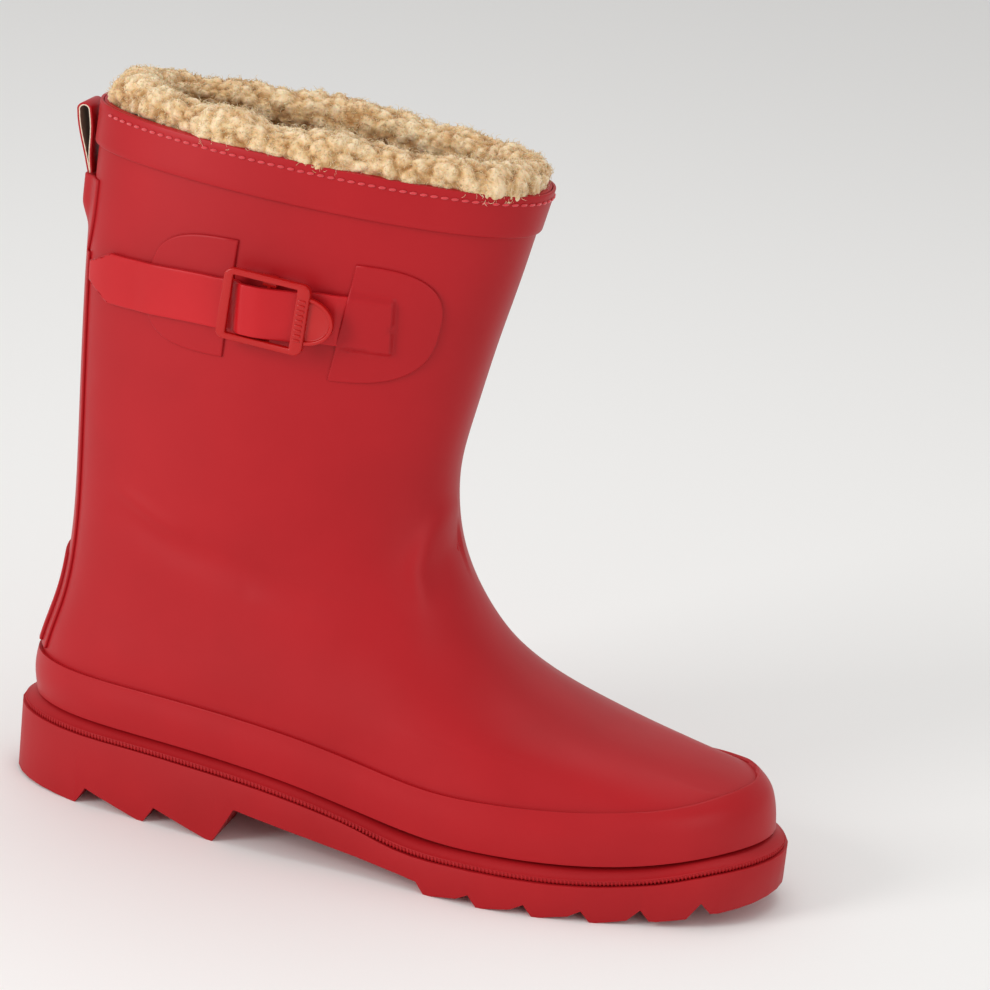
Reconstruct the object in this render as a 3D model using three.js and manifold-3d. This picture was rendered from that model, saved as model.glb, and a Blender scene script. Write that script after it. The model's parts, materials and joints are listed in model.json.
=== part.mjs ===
// A mid-calf rubber rain boot for the right foot, with a fleece lining and a side strap.
// Millimetres. +X runs from the heel to the toe, +Z is up, and the outer side of the foot is -Y.
// While it is laid out, x = 0 is the back of the sole; the group then moves half a sole back.

import * as THREE from 'three';
import { ParametricGeometry } from 'three/addons/geometries/ParametricGeometry.js';
import { mergeVertices } from 'three/addons/utils/BufferGeometryUtils.js';
import Module from 'manifold-3d';

const wasm = await Module();
wasm.setup();

// ---------------------------------------------------------------- driving dimensions

const soleLength = 285;
const ballHalfWidth = 53.4;
const gap = 0.3;
const layerGap = 0.6;

// Sole
const heelSoleHeight = 25.6;
const foreSoleHeight = 12.7;
const toeSoleHeight = 22;
const outsoleSetback = 0.8;
const weltHeight = 4.7;
const beadHeight = 1.9;
const weltWidth = 8.2;
const lugDepth = 5.2;
const lugPitch = 19.4;
const heelLugPitch = 27.6;
const lugLand = 2.4;
const lugSlope = 3.2;
const lugFoot = 1.6;
const firstLug = 0.59;
const heelLugStart = 33.2;
const heelLugSlope = 8;
const heelLugFoot = 2.2;
const heelLugBack = 3.6;
const heelEdgeRise = 1.2;
const toeEdgeRise = 9;
const breastSlope = 7;
const archRise = 13.7;
const archEnd = 0.456;

// Shells of the upper
const upperWall = 1.8;
const foxingWall = 1.5;
const foxingHeight = 15.6;
const foxingToeRise = 2.2;
const toeInset = 13.2;
const featherInset = [6, 5.8];
const foxingMidInset = [4.6, 7.2];
const foxingTopInset = 5.4;
const stiffenerWall = 0.8;
const liningWall = 3;
const collarWall = 1.2;
const stitchWidth = 0.8;
const stitchDrop = 2.7;

// Shaft
const throatHeight = 130;
const shaftFrontHeight = 241.5;
const collarTilt = 9.5;
const collarBandHeight = 14.8;
const throatLength = 138.6;
const openingLength = 160.5;
const shaftBack = 15;
const ankleHalfWidth = 33;
const openingHalfWidth = 35.5;

// Fleece roll above the collar
const cuffHeight = 13;
const cuffThickness = 15;
const cuffSetIn = 6.2;

// Bottom stack
const boardThickness = 2;
const boardInset = 8.5;
const insoleThickness = 4;
const insoleInset = 14;
const shankLength = 94;
const shankWidth = 14;
const shankThickness = 1.5;
const shankStart = 70;

// Strap and buckle, on the outer side
const strapDrop = 47;
const strapSlope = -0.033;
const strapWidth = 17.6;
const strapThickness = 1.6;
const strapTipX = 24;
const strapTipLength = 9;
const strapTipWidth = 6;
const strapEndX = 131.5;
const splitClearance = 2.2;
const barX = 90;
const patchWall = 1;
const patchHalfHeight = 21;
const patchDepth = 31;
const patchMargin = 2;
const sewnPlay = 0.8;
const rearPatchEdge = 76;
const frontPatchEdge = 115.4;
const buckleBack = 15.3;
const buckleFront = 15.5;
const buckleThickness = 2.8;
const buckleLift = 4.6;
const endRail = 2.1;
const strapPlay = 1.7;
const buckleHeight = strapWidth + 2 * (strapPlay + endRail);
const rearRail = 3.1;
const frontRail = 4.6;
const buckleCorner = 3;
const windowCorner = 0.6;
const tabReach = 9.3;
const tabHalfHeight = 8.4;
const tabThickness = 2;
const barRadius = 0.9;
const barLift = 2.6;
const eyeWall = 0.7;
const keeperWidth = 14;
const keeperThickness = 0.9;
const keeperClearance = 2.5;

// Back of the boot
const stripHalfWidth = 13;
const stripWall = 1;
const spurHalfWidth = 8.5;
const spurHeight = 87;
const spurWall = 1.2;
const loopTapeThickness = 1.2;
const loopWidth = 16;
const loopHeight = 26;
const loopOpening = 5.2;
const loopPatchTopDrop = 27.5;
const loopPatchHeight = 32;
const loopPatchHalfWidth = 15;
const loopAnchorDepth = 13;
const loopAnchorThickness = 1.6;

// Fineness of the facets
const roundSteps = 32;
const soleSteps = 44;
const weltSteps = 64;

// ---------------------------------------------------------------- colours

const rubberRed = 0xb92630;
const buckleRed = 0xc4211f;
const fleeceCream = 0xe6c392;
const boardTan = 0xb08a5e;
const steelGrey = 0x8d9196;
const feltDark = 0x4a4643;

const rubber = { color: rubberRed, roughness: 0.42, metalness: 0 };
const plastic = { color: buckleRed, roughness: 0.3, metalness: 0 };
const fleece = { color: fleeceCream, roughness: 1, metalness: 0 };
const board = { color: boardTan, roughness: 0.9, metalness: 0 };
const steel = { color: steelGrey, roughness: 0.35, metalness: 1 };
const felt = { color: feltDark, roughness: 0.95, metalness: 0 };
const thread = { color: rubberRed, roughness: 0.7, metalness: 0 };

// ---------------------------------------------------------------- curves

// A smooth line y(x) through points given in order of x.
function smoothLine(points, x) {
  const last = points.length - 1;
  const clamped = Math.min(Math.max(x, points[0][0]), points[last][0]);
  let i = 0;
  while (i < last - 1 && points[i + 1][0] < clamped) i += 1;
  const slopeAt = (k) => {
    const before = points[Math.max(k - 1, 0)];
    const after = points[Math.min(k + 1, last)];
    return (after[1] - before[1]) / (after[0] - before[0]);
  };
  const [x0, y0] = points[i];
  const [x1, y1] = points[i + 1];
  const width = x1 - x0;
  const t = (clamped - x0) / width;
  const rise = t * t * (3 - 2 * t);
  const leave = t * (1 - t) * (1 - t) * width * slopeAt(i);
  const arrive = t * t * (1 - t) * width * slopeAt(i + 1);
  return y0 + (y1 - y0) * rise + leave - arrive;
}

const lerp = THREE.MathUtils.lerp;
const smoothstep = THREE.MathUtils.smoothstep;

// Stations along the foot, 0 at the heel and 1 at the toe, crowd towards both round ends.
const stationOf = (turn) => (1 - Math.cos(Math.PI * turn)) / 2;
const turnOf = (station) => Math.acos(1 - 2 * station) / Math.PI;

// Half widths of the sole, as shares of the ball's, on the outer and the inner side of the foot.
const outerOutline = [
  [0, 0], [0.03, 0.36], [0.1, 0.58], [0.2, 0.69], [0.35, 0.82], [0.5, 0.88],
  [0.65, 1], [0.75, 0.945], [0.85, 0.78], [0.93, 0.61], [0.98, 0.34], [1, 0],
].map(([station, share]) => [turnOf(station), share]);
const innerOutline = [
  [0, 0], [0.03, 0.36], [0.1, 0.58], [0.2, 0.66], [0.35, 0.64], [0.5, 0.74],
  [0.62, 0.9], [0.73, 1], [0.85, 0.87], [0.93, 0.64], [0.98, 0.34], [1, 0],
].map(([station, share]) => [turnOf(station), share]);

// Height of the sole's top edge above the ground.
const soleTopLine = [
  [0, heelSoleHeight + 0.4], [0.12, heelSoleHeight], [0.24, heelSoleHeight - 0.4],
  [0.36, heelSoleHeight - 2.2], [0.47, lerp(foreSoleHeight, heelSoleHeight, 0.45)],
  [0.555, foreSoleHeight + 0.2], [0.65, foreSoleHeight], [0.77, foreSoleHeight],
  [0.86, lerp(foreSoleHeight, toeSoleHeight, 0.25)],
  [0.93, lerp(foreSoleHeight, toeSoleHeight, 0.75)], [1, toeSoleHeight],
];
const soleTop = (station) => smoothLine(soleTopLine, station);
const soleTopAt = (x) => soleTop(x / soleLength);

// How far the sole's top edge stands above a straight line from its heel end to its toe end.
const soleWave = (station) => soleTop(station) - lerp(soleTop(0), soleTop(1), station);

// ---------------------------------------------------------------- surface of the upper

// Rings run round the boot from the feather line (0) to the collar's edge (15). Each is given by
// its back point, its front point, and how much of the sole's wave it follows.
const featherRing = 0;
const foxingTopRing = 2;
const throatRing = 9;
const bandRing = 14;
const topRing = 15;
const featherHeight = weltHeight + 2 * gap;
const throatX = shaftBack + throatLength;
const toeX = soleLength - toeInset;
const foxingFront = foxingHeight + foxingToeRise;
const heelFeather = soleTop(0) + featherHeight;
const toeFeather = soleTop(1) + featherHeight;
const vampX = (share) => lerp(throatX, toeX, share);
const shaftZ = (share) => lerp(throatHeight, shaftFrontHeight, share);
const shaftX = (share) => lerp(throatX, shaftBack + openingLength, share);
const bandShare = 1 - collarBandHeight / (shaftFrontHeight - throatHeight);

const rings = [
  { back: [featherInset[0], heelFeather], front: [soleLength - featherInset[1], toeFeather], wave: 1 },
  { back: [foxingMidInset[0], heelFeather + foxingHeight * 0.5],
    front: [soleLength - foxingMidInset[1], toeFeather + foxingFront * 0.55], wave: 1 },
  { back: [foxingTopInset, heelFeather + foxingHeight], front: [toeX, toeFeather + foxingFront], wave: 1 },
  { back: [7.4, 54.5], front: [vampX(0.79), 50.4], wave: 0.55 },
  { back: [9.6, 61.5], front: [vampX(0.57), 54.8], wave: 0.3 },
  { back: [12, 69.5], front: [vampX(0.353), 64.7], wave: 0.15 },
  { back: [13.8, 78.5], front: [vampX(0.193), 78], wave: 0 },
  { back: [15, 89], front: [vampX(0.084), 96], wave: 0 },
  { back: [15.6, 101], front: [vampX(0.023), 112.5], wave: 0 },
  { back: [15.5, 115], front: [throatX, throatHeight], wave: 0 },
  { back: [shaftBack, shaftZ(0.01)], front: [shaftX(0.01), shaftZ(0.117)], wave: 0 },
  { back: [shaftBack - 0.8, shaftZ(0.21)], front: [shaftX(0.176), shaftZ(0.269)], wave: 0 },
  { back: [shaftBack - 1.6, shaftZ(0.467)], front: [shaftX(0.39), shaftZ(0.484)], wave: 0 },
  { back: [shaftBack - 1.8, shaftZ(0.71)], front: [shaftX(0.66), shaftZ(0.69)], wave: 0 },
  { back: [shaftBack - 0.8, shaftZ(bandShare) + collarTilt],
    front: [shaftX(0.85), shaftZ(bandShare)], wave: 0 },
  { back: [shaftBack, shaftFrontHeight + collarTilt], front: [shaftX(1), shaftFrontHeight], wave: 0 },
];
const ringLine = (pick) => rings.map((ring, index) => [index, pick(ring)]);
const backXLine = ringLine((ring) => ring.back[0]);
const backZLine = ringLine((ring) => ring.back[1]);
const frontXLine = ringLine((ring) => ring.front[0]);
const frontZLine = ringLine((ring) => ring.front[1]);
const waveLine = ringLine((ring) => ring.wave);

// Height of the top of the vamp above a place between the throat and the toe.
function vampHeight(x) {
  const steepness = 3;
  if (x <= throatX + 1) return throatHeight + (throatX + 1 - x) * steepness;
  let low = foxingTopRing;
  let high = throatRing;
  for (let i = 0; i < 40; i += 1) {
    const middle = (low + high) / 2;
    if (smoothLine(frontXLine, middle) > x) low = middle;
    else high = middle;
  }
  return smoothLine(frontZLine, low);
}

// The half width of the boot at a point of a ring, before the side is chosen.
function halfWidth(outline, turn, level, x, z, ringBack) {
  const station = stationOf(turn);
  const underfoot = (x - ringBack * (1 - station) ** 3) / toeX;
  const ownStation = lerp(station, underfoot, smoothstep(level, foxingTopRing, foxingTopRing + 1));
  const footStation = THREE.MathUtils.clamp(ownStation, 0, 1);
  const foxingInset = smoothLine([[0, 0.892], [1, 0.91], [foxingTopRing, 0.88]], level);
  if (level <= foxingTopRing) return ballHalfWidth * foxingInset * smoothLine(outline, turn);
  const base = soleTopAt(x) + featherHeight + foxingHeight;
  const crown = Math.max(vampHeight(x) - base, 0.05);
  const climb = THREE.MathUtils.clamp((z - base) / crown, 0, 1);
  const domeShape = (1 - climb ** 2.3) ** (1 / 2.3);
  const foot = ballHalfWidth * foxingInset * smoothLine(outline, turnOf(footStation)) * domeShape;
  const shaftHalf = lerp(ankleHalfWidth, openingHalfWidth, smoothstep(z, throatHeight, shaftFrontHeight));
  const shaft = shaftHalf * Math.sin(Math.PI * turn) ** 0.83;
  return lerp(foot, shaft, smoothstep(level, 3, 9));
}

// A point of the outer surface. Round is 0 at the back, 0.5 at the front; the outer side comes first.
function surfacePoint(round, level) {
  const wrapped = round - Math.floor(round);
  const outerSide = wrapped <= 0.5;
  const turn = outerSide ? 2 * wrapped : 2 * (1 - wrapped);
  const station = stationOf(turn);
  const ringBack = smoothLine(backXLine, level);
  const x = lerp(ringBack, smoothLine(frontXLine, level), station);
  const straight = lerp(smoothLine(backZLine, level), smoothLine(frontZLine, level), station);
  const frontWave = soleWave(smoothLine(frontXLine, level) / soleLength);
  const wave = soleWave(x / soleLength) - station * frontWave;
  const z = straight + smoothLine(waveLine, level) * wave;
  const outline = outerSide ? outerOutline : innerOutline;
  const y = halfWidth(outline, turn, level, x, z, ringBack);
  return new THREE.Vector3(x, outerSide ? -y : y, z);
}

// The surface's outward direction.
function surfaceNormal(round, level) {
  const small = 0.004;
  const lowLevel = Math.max(level - 0.05, 0);
  const highLevel = Math.min(level + 0.05, topRing);
  const along = surfacePoint(round + small, level).sub(surfacePoint(round - small, level));
  const up = surfacePoint(round, highLevel).sub(surfacePoint(round, lowLevel));
  return along.cross(up).normalize();
}

const offsetPoint = (round, level, offset) =>
  surfacePoint(round, level).addScaledVector(surfaceNormal(round, level), offset);

// Round and level of the outer side's point that lies at x and z.
function outerSideAt(x, z) {
  let low = foxingTopRing;
  let high = topRing;
  let round = 0;
  for (let i = 0; i < 32; i += 1) {
    const level = (low + high) / 2;
    const back = smoothLine(backXLine, level);
    const station = THREE.MathUtils.clamp((x - back) / (smoothLine(frontXLine, level) - back), 0, 1);
    round = turnOf(station) / 2;
    if (surfacePoint(round, level).z < z) low = level;
    else high = level;
  }
  return { round, level: (low + high) / 2 };
}

function outerSideOffset(x, z, offset) {
  const place = outerSideAt(x, z);
  return offsetPoint(place.round, place.level, offset);
}

// The level at which the back seam reaches a height.
function backLevel(height) {
  let low = 0;
  let high = topRing;
  for (let i = 0; i < 32; i += 1) {
    const level = (low + high) / 2;
    if (smoothLine(backZLine, level) < height) low = level;
    else high = level;
  }
  return (low + high) / 2;
}

// ---------------------------------------------------------------- solids

// Welds a geometry's seams and turns its faces outwards.
function closedBody(geometry) {
  geometry.deleteAttribute('normal');
  geometry.deleteAttribute('uv');
  const merged = mergeVertices(geometry, 1e-4);
  const position = merged.attributes.position;
  const index = Array.from(merged.index.array);
  const kept = [];
  let volume = 0;
  const corner = [0, 1, 2].map(() => new THREE.Vector3());
  for (let i = 0; i < index.length; i += 3) {
    const [a, b, c] = index.slice(i, i + 3);
    if (a === b || b === c || c === a) continue;
    kept.push(a, b, c);
    corner.forEach((point, k) => point.fromBufferAttribute(position, index[i + k]));
    volume += corner[0].dot(corner[1].clone().cross(corner[2]));
  }
  if (volume < 0) kept.reverse();
  merged.setIndex(kept);
  merged.computeVertexNormals();
  return merged;
}

const toSolid = (geometry) => {
  const body = closedBody(geometry.clone());
  return new wasm.Manifold(new wasm.Mesh({
    numProp: 3,
    vertProperties: new Float32Array(body.attributes.position.array),
    triVerts: new Uint32Array(body.index.array),
  }));
};

const fromSolid = (solid) => {
  const mesh = solid.getMesh();
  const geometry = new THREE.BufferGeometry();
  geometry.setAttribute('position', new THREE.BufferAttribute(mesh.vertProperties, 3));
  geometry.setIndex(new THREE.BufferAttribute(mesh.triVerts, 1));
  geometry.computeVertexNormals();
  return geometry;
};

// A ring swept round the boot: section(round) gives the closed loop of points at each place.
function sweptRing(section, sectionCount, steps = roundSteps) {
  const rounds = Array.from({ length: steps }, (_, i) => section(i / steps));
  const pick = (u, v, target) => {
    const loop = rounds[Math.round(u * steps) % steps];
    target.copy(loop[Math.round(v * sectionCount) % sectionCount]);
  };
  return closedBody(new ParametricGeometry(pick, steps, sectionCount));
}

// Levels shared by every shell, so that nested shells have parallel facets.
const shellLevels = [0, 0.5, 1, 1.5, 2, 3, 4, 5, 6, 7, 8, 9, 10, 11, 12, 13, 14, 15];
const levelsBetween = (from, to) => [
  from,
  ...shellLevels.filter((level) => level > from + 0.1 && level < to - 0.1),
  to,
];

// A full shell between two offsets from the outer surface and between two levels.
function shellRing(from, to, inner, outer) {
  const levels = levelsBetween(from, to);
  const section = (round) => [
    ...levels.map((level) => offsetPoint(round, level, outer)),
    ...levels.toReversed().map((level) => offsetPoint(round, level, inner)),
  ];
  return sweptRing(section, levels.length * 2);
}

// A slab bent over a grid: place(i, j, k) maps its steps along, across and through.
function bentSlab(along, across, place) {
  const slab = new THREE.BoxGeometry(1, 1, 1, along, across, 1);
  const position = slab.attributes.position;
  for (let n = 0; n < position.count; n += 1) {
    const i = Math.round((position.getX(n) + 0.5) * along);
    const j = Math.round((position.getY(n) + 0.5) * across);
    const k = Math.round(position.getZ(n) + 0.5);
    const point = place(i, j, k);
    position.setXYZ(n, point.x, point.y, point.z);
  }
  return closedBody(slab);
}

// A piece of shell between two places round the boot, in whole steps from the back.
function shellPiece(firstStep, lastStep, from, to, inner, outer) {
  const levels = levelsBetween(from, to);
  const place = (i, j, k) =>
    offsetPoint((firstStep + i) / roundSteps, levels[j], k === 0 ? inner : outer);
  return bentSlab(lastStep - firstStep, levels.length - 1, place);
}

// A slab lying on the outer side of the shaft.
function sideSlab(backX, frontX, lowZ, highZ, inner, outer) {
  const along = Math.max(2, Math.round((frontX - backX) / 5));
  const across = Math.max(2, Math.round((highZ - lowZ) / 10));
  const place = (i, j, k) => {
    const x = lerp(backX, frontX, i / along);
    const z = lerp(lowZ, highZ, j / across);
    return outerSideOffset(x, z, k === 0 ? inner : outer);
  };
  return bentSlab(along, across, place);
}

function extruded(shape, depth, curveSegments) {
  return new THREE.ExtrudeGeometry(shape, { depth, curveSegments, bevelEnabled: false });
}

// A prism along Y from an outline drawn in X and Z.
function prismAcross(shape, nearY, farY) {
  const prism = extruded(shape, farY - nearY, 6);
  prism.rotateX(Math.PI / 2);
  prism.translate(0, farY, 0);
  return prism;
}

// A prism along X from an outline drawn in Y and Z.
function prismAlong(shape, backX, frontX) {
  const prism = extruded(shape, frontX - backX, 6);
  const turn = new THREE.Matrix4().makeBasis(
    new THREE.Vector3(0, 1, 0), new THREE.Vector3(0, 0, 1), new THREE.Vector3(1, 0, 0));
  prism.applyMatrix4(turn);
  prism.translate(backX, 0, 0);
  return prism;
}

const shapeOf = (points) => new THREE.Shape(points.map(([x, y]) => new THREE.Vector2(x, y)));

// ---------------------------------------------------------------- sole

// A point on the sole's outline, moved in from the edge.
function soleEdge(round, inset) {
  const at = (place) => {
    const wrapped = place - Math.floor(place);
    const outerSide = wrapped <= 0.5;
    const turn = outerSide ? 2 * wrapped : 2 * (1 - wrapped);
    const half = ballHalfWidth * smoothLine(outerSide ? outerOutline : innerOutline, turn);
    return new THREE.Vector2(soleLength * stationOf(turn), outerSide ? -half : half);
  };
  const small = 0.005;
  const along = at(round + small).sub(at(round - small)).normalize();
  return at(round).add(new THREE.Vector2(-along.y, along.x).multiplyScalar(inset));
}

function soleOutline(inset) {
  const outline = [];
  for (let i = 0; i < weltSteps; i += 1) {
    const point = soleEdge(i / weltSteps, inset);
    outline.push([point.x, point.y]);
  }
  return shapeOf(outline);
}

// The layer of the sole between two heights above its top line, cut to an outline.
function soleLayer(low, high, inset, firstX, lastX) {
  const stations = Array.from({ length: soleSteps + 1 }, (_, i) => (i / soleSteps) * soleLength);
  const inside = stations.filter((x) => x > firstX + 1 && x < lastX - 1);
  const line = [firstX, ...inside, lastX];
  const profile = shapeOf([
    ...line.map((x) => [x, soleTopAt(x) + low]),
    ...line.toReversed().map((x) => [x, soleTopAt(x) + high]),
  ]);
  const strip = toSolid(prismAcross(profile, -ballHalfWidth, ballHalfWidth));
  return strip.intersect(toSolid(extruded(soleOutline(inset), throatHeight, 1)));
}

// Side view of the tread, from the heel to the toe: each lug is a sloped tooth with a flat land.
function treadLine() {
  const points = [[0, heelEdgeRise]];
  const heelTips = [0, 1, 2].map((i) => heelLugStart + i * heelLugPitch);
  heelTips.forEach((tip, i) => {
    points.push([tip - lugLand - heelLugSlope, i === 0 ? heelEdgeRise * 0.4 : heelLugFoot]);
    points.push([tip - lugLand, 0], [tip, 0]);
    if (i < 2) points.push([tip + heelLugBack, lugDepth + 1]);
  });
  points.push([heelTips[2] + breastSlope, archRise]);
  points.push([soleLength * archEnd, archRise * 0.63]);
  const tips = [0, 1, 2, 3, 4, 5].map((i) => soleLength * firstLug + i * lugPitch);
  const toeSpring = [0, 0, 0, 0, 1.8, 5.4];
  tips.forEach((tip, i) => {
    const lift = toeSpring[i];
    points.push([tip - lugSlope, lugDepth * 0.75 + lift], [tip, lift], [tip + lugLand, lift]);
    points.push([tip + lugPitch * 0.62, lift + lugFoot]);
  });
  points.push([soleLength, toeEdgeRise]);
  return points;
}

function outsole() {
  const stations = Array.from({ length: soleSteps + 1 }, (_, i) => (i / soleSteps) * soleLength);
  const profile = shapeOf([
    ...treadLine(),
    ...stations.toReversed().map((x) => [x, soleTopAt(x)]),
  ]);
  const side = toSolid(prismAcross(profile, -ballHalfWidth - 5, ballHalfWidth + 5));
  const block = extruded(soleOutline(outsoleSetback), throatHeight, 1);
  block.translate(0, 0, -lugDepth);
  const pocket = shankStrip(gap);
  return fromSolid(side.intersect(toSolid(block)).subtract(pocket));
}

// The shank, or with a clearance the pocket that holds it.
function shankStrip(clearance) {
  const steps = 7;
  const line = Array.from({ length: steps + 1 }, (_, i) => {
    const end = i === 0 ? -clearance : (i === steps ? clearance : 0);
    return shankStart + (shankLength * i) / steps + end;
  });
  const high = clearance > 0 ? shankThickness * 2 : -gap;
  const profile = shapeOf([
    ...line.map((x) => [x, soleTopAt(x) - gap - shankThickness - clearance]),
    ...line.toReversed().map((x) => [x, soleTopAt(x) + high]),
  ]);
  const half = shankWidth / 2 + clearance;
  return toSolid(prismAcross(profile, -half, half));
}

// The welt: a narrow knurled bead at the outermost edge, and a slope that runs in to the foxing.
function weltStrip() {
  const beadRound = 0.2;
  const beadWidth = 1.4;
  const slopeEnd = 4.4;
  const section = (round) => {
    const corners = [
      [beadRound, gap], [0, beadHeight * 0.5], [beadRound, beadHeight],
      [beadWidth, beadHeight + 2 * beadRound], [slopeEnd, weltHeight],
      [weltWidth, weltHeight], [weltWidth, gap],
    ];
    return corners.map(([inset, height]) => {
      const edge = soleEdge(round, inset);
      return new THREE.Vector3(edge.x, edge.y, soleTopAt(edge.x) + height);
    });
  };
  return sweptRing(section, section(0).length, weltSteps);
}

// ---------------------------------------------------------------- collar and fleece

// A point at a distance below the collar's edge, for bands that run parallel to it.
function collarPoint(round, drop, offset) {
  const level = topRing - (topRing - bandRing) * (drop / collarBandHeight);
  return offsetPoint(round, level, offset);
}

function collarStitching() {
  const inner = gap + collarWall + gap;
  const outer = inner + stitchWidth / 2;
  const section = (round) => [
    collarPoint(round, stitchDrop + stitchWidth / 2, inner),
    collarPoint(round, stitchDrop + stitchWidth / 2, outer),
    collarPoint(round, stitchDrop - stitchWidth / 2, outer),
    collarPoint(round, stitchDrop - stitchWidth / 2, inner),
  ];
  return sweptRing(section, 4);
}

function fleeceCuff() {
  const corners = 10;
  const section = (round) => Array.from({ length: corners }, (_, i) => {
    const angle = (i / corners) * 2 * Math.PI;
    const edge = surfacePoint(round, topRing);
    const outward = surfaceNormal(round, topRing).setZ(0).normalize();
    const across = -cuffSetIn + (cuffThickness / 2) * Math.cos(angle);
    const up = gap + (cuffHeight / 2) * (1 + Math.sin(angle));
    return edge.addScaledVector(outward, across).add(new THREE.Vector3(0, 0, up));
  });
  return sweptRing(section, corners);
}

// ---------------------------------------------------------------- strap and its patches

const strapCentre = (x) => shaftFrontHeight - strapDrop + (x - barX) * strapSlope;

// How far the strap's inner face stands off the shaft: flat on it in front of the buckle, up over
// the centre bar, and down again onto the rear patch.
const overPatch = gap + patchWall + gap;
const overBar = barLift + barRadius + gap + eyeWall + gap;
const strapRise = [
  [strapTipX, overPatch], [barX - 18, overPatch], [barX - 14, overPatch], [barX - 10.5, overPatch + 0.4],
  [barX - 5, overBar - 0.7], [barX, overBar], [barX + 5, overBar - 1.2], [barX + 10, gap + 0.9],
  [barX + 16, gap], [strapEndX + 10, gap],
];

// Part of the strap between two places, with a half width that may change along it.
function strapPiece(backX, frontX, steps, halfWidthAt) {
  const across = 2;
  const place = (i, j, k) => {
    const x = lerp(backX, frontX, i / steps);
    const z = strapCentre(x) + halfWidthAt(x) * (j - 1);
    const rise = smoothLine(strapRise, x) + (k === 0 ? 0 : strapThickness);
    return outerSideOffset(x, z, rise);
  };
  return bentSlab(steps, across, place);
}

const strapSplit = barX - buckleBack - splitClearance;
const fullStrap = () => strapWidth / 2;
const taperedStrap = (x) => {
  const share = THREE.MathUtils.clamp((x - strapTipX) / strapTipLength, 0, 1);
  return lerp(strapTipWidth / 2, strapWidth / 2, share);
};

// A D outline: a straight edge, leaning with height, and a rounded side that points along +X or -X.
function dOutline(edgeX, centreZ, depth, lean, fullness) {
  const points = [];
  const steps = 14;
  for (let i = 0; i <= steps; i += 1) {
    const angle = Math.PI / 2 - (Math.PI * i) / steps;
    const out = Math.max(Math.cos(angle), 0) ** fullness;
    const up = Math.sign(Math.sin(angle)) * Math.abs(Math.sin(angle)) ** fullness;
    points.push([edgeX + depth * out + lean * up, centreZ + patchHalfHeight * up]);
  }
  return shapeOf(points);
}

function rearStrapPatch() {
  const centre = strapCentre(rearPatchEdge);
  const lean = 1.5;
  const fullness = 0.62;
  const slab = sideSlab(rearPatchEdge - patchDepth - lean * 2, rearPatchEdge + lean * 2 + 1,
    centre - patchHalfHeight - patchMargin, centre + patchHalfHeight + patchMargin, gap, gap + patchWall);
  const outline = dOutline(rearPatchEdge, centre, -patchDepth, lean, fullness);
  return fromSolid(toSolid(slab).intersect(toSolid(prismAcross(outline, -soleLength, 0))));
}

// The front patch lies on the shaft and steps up over the strap's sewn end.
function frontStrapPatch() {
  const lean = 3.4;
  const fullness = 0.72;
  const centre = strapCentre(frontPatchEdge) - 1;
  const edgeX = frontPatchEdge - 2 * lean - 1.2;
  const farX = frontPatchEdge + patchDepth + 6;
  const low = centre - patchHalfHeight - patchMargin;
  const high = centre + patchHalfHeight + patchMargin;
  const flat = toSolid(sideSlab(edgeX, farX, low, high, gap, gap + patchWall));
  const strapZ = strapCentre(strapEndX);
  const covered = strapWidth / 2 + gap;
  const humpLow = strapZ - covered - patchWall;
  const humpHigh = strapZ + covered + patchWall + sewnPlay;
  const roof = gap + strapThickness + gap;
  const hump = toSolid(
    sideSlab(edgeX, strapEndX + gap + patchWall, humpLow, humpHigh, gap + 0.1, roof + patchWall));
  const channelHigh = strapZ + covered + sewnPlay;
  const channel = toSolid(
    sideSlab(edgeX - patchMargin, strapEndX + gap, strapZ - covered, channelHigh, -gap, roof));
  const outline = dOutline(frontPatchEdge, centre, patchDepth + 1, lean, fullness);
  const prism = toSolid(prismAcross(outline, -soleLength, 0));
  return fromSolid(flat.add(hump).subtract(channel).intersect(prism));
}

// ---------------------------------------------------------------- buckle

// The buckle's own frame: its X follows the strap forwards, its Y goes up, its Z leaves the boot.
function buckleFrameMatrix() {
  const place = outerSideAt(barX, strapCentre(barX));
  const outward = surfaceNormal(place.round, place.level);
  const alongStrap = new THREE.Vector3(1, 0, strapSlope);
  alongStrap.addScaledVector(outward, -alongStrap.dot(outward)).normalize();
  const up = outward.clone().cross(alongStrap);
  const origin = surfacePoint(place.round, place.level);
  return new THREE.Matrix4().makeBasis(alongStrap, up, outward).setPosition(origin);
}

function plate(shape, low, thickness) {
  const body = extruded(shape, thickness, 4);
  body.translate(0, 0, low);
  return toSolid(body);
}

function roundedRectangle(left, right, bottom, top, radius) {
  const shape = new THREE.Shape();
  shape.moveTo(left + radius, bottom);
  shape.lineTo(right - radius, bottom);
  shape.absarc(right - radius, bottom + radius, radius, -Math.PI / 2, 0);
  shape.absarc(right - radius, top - radius, radius, 0, Math.PI / 2);
  shape.absarc(left + radius, top - radius, radius, Math.PI / 2, Math.PI);
  shape.absarc(left + radius, bottom + radius, radius, Math.PI, Math.PI * 1.5);
  return shape;
}

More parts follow.
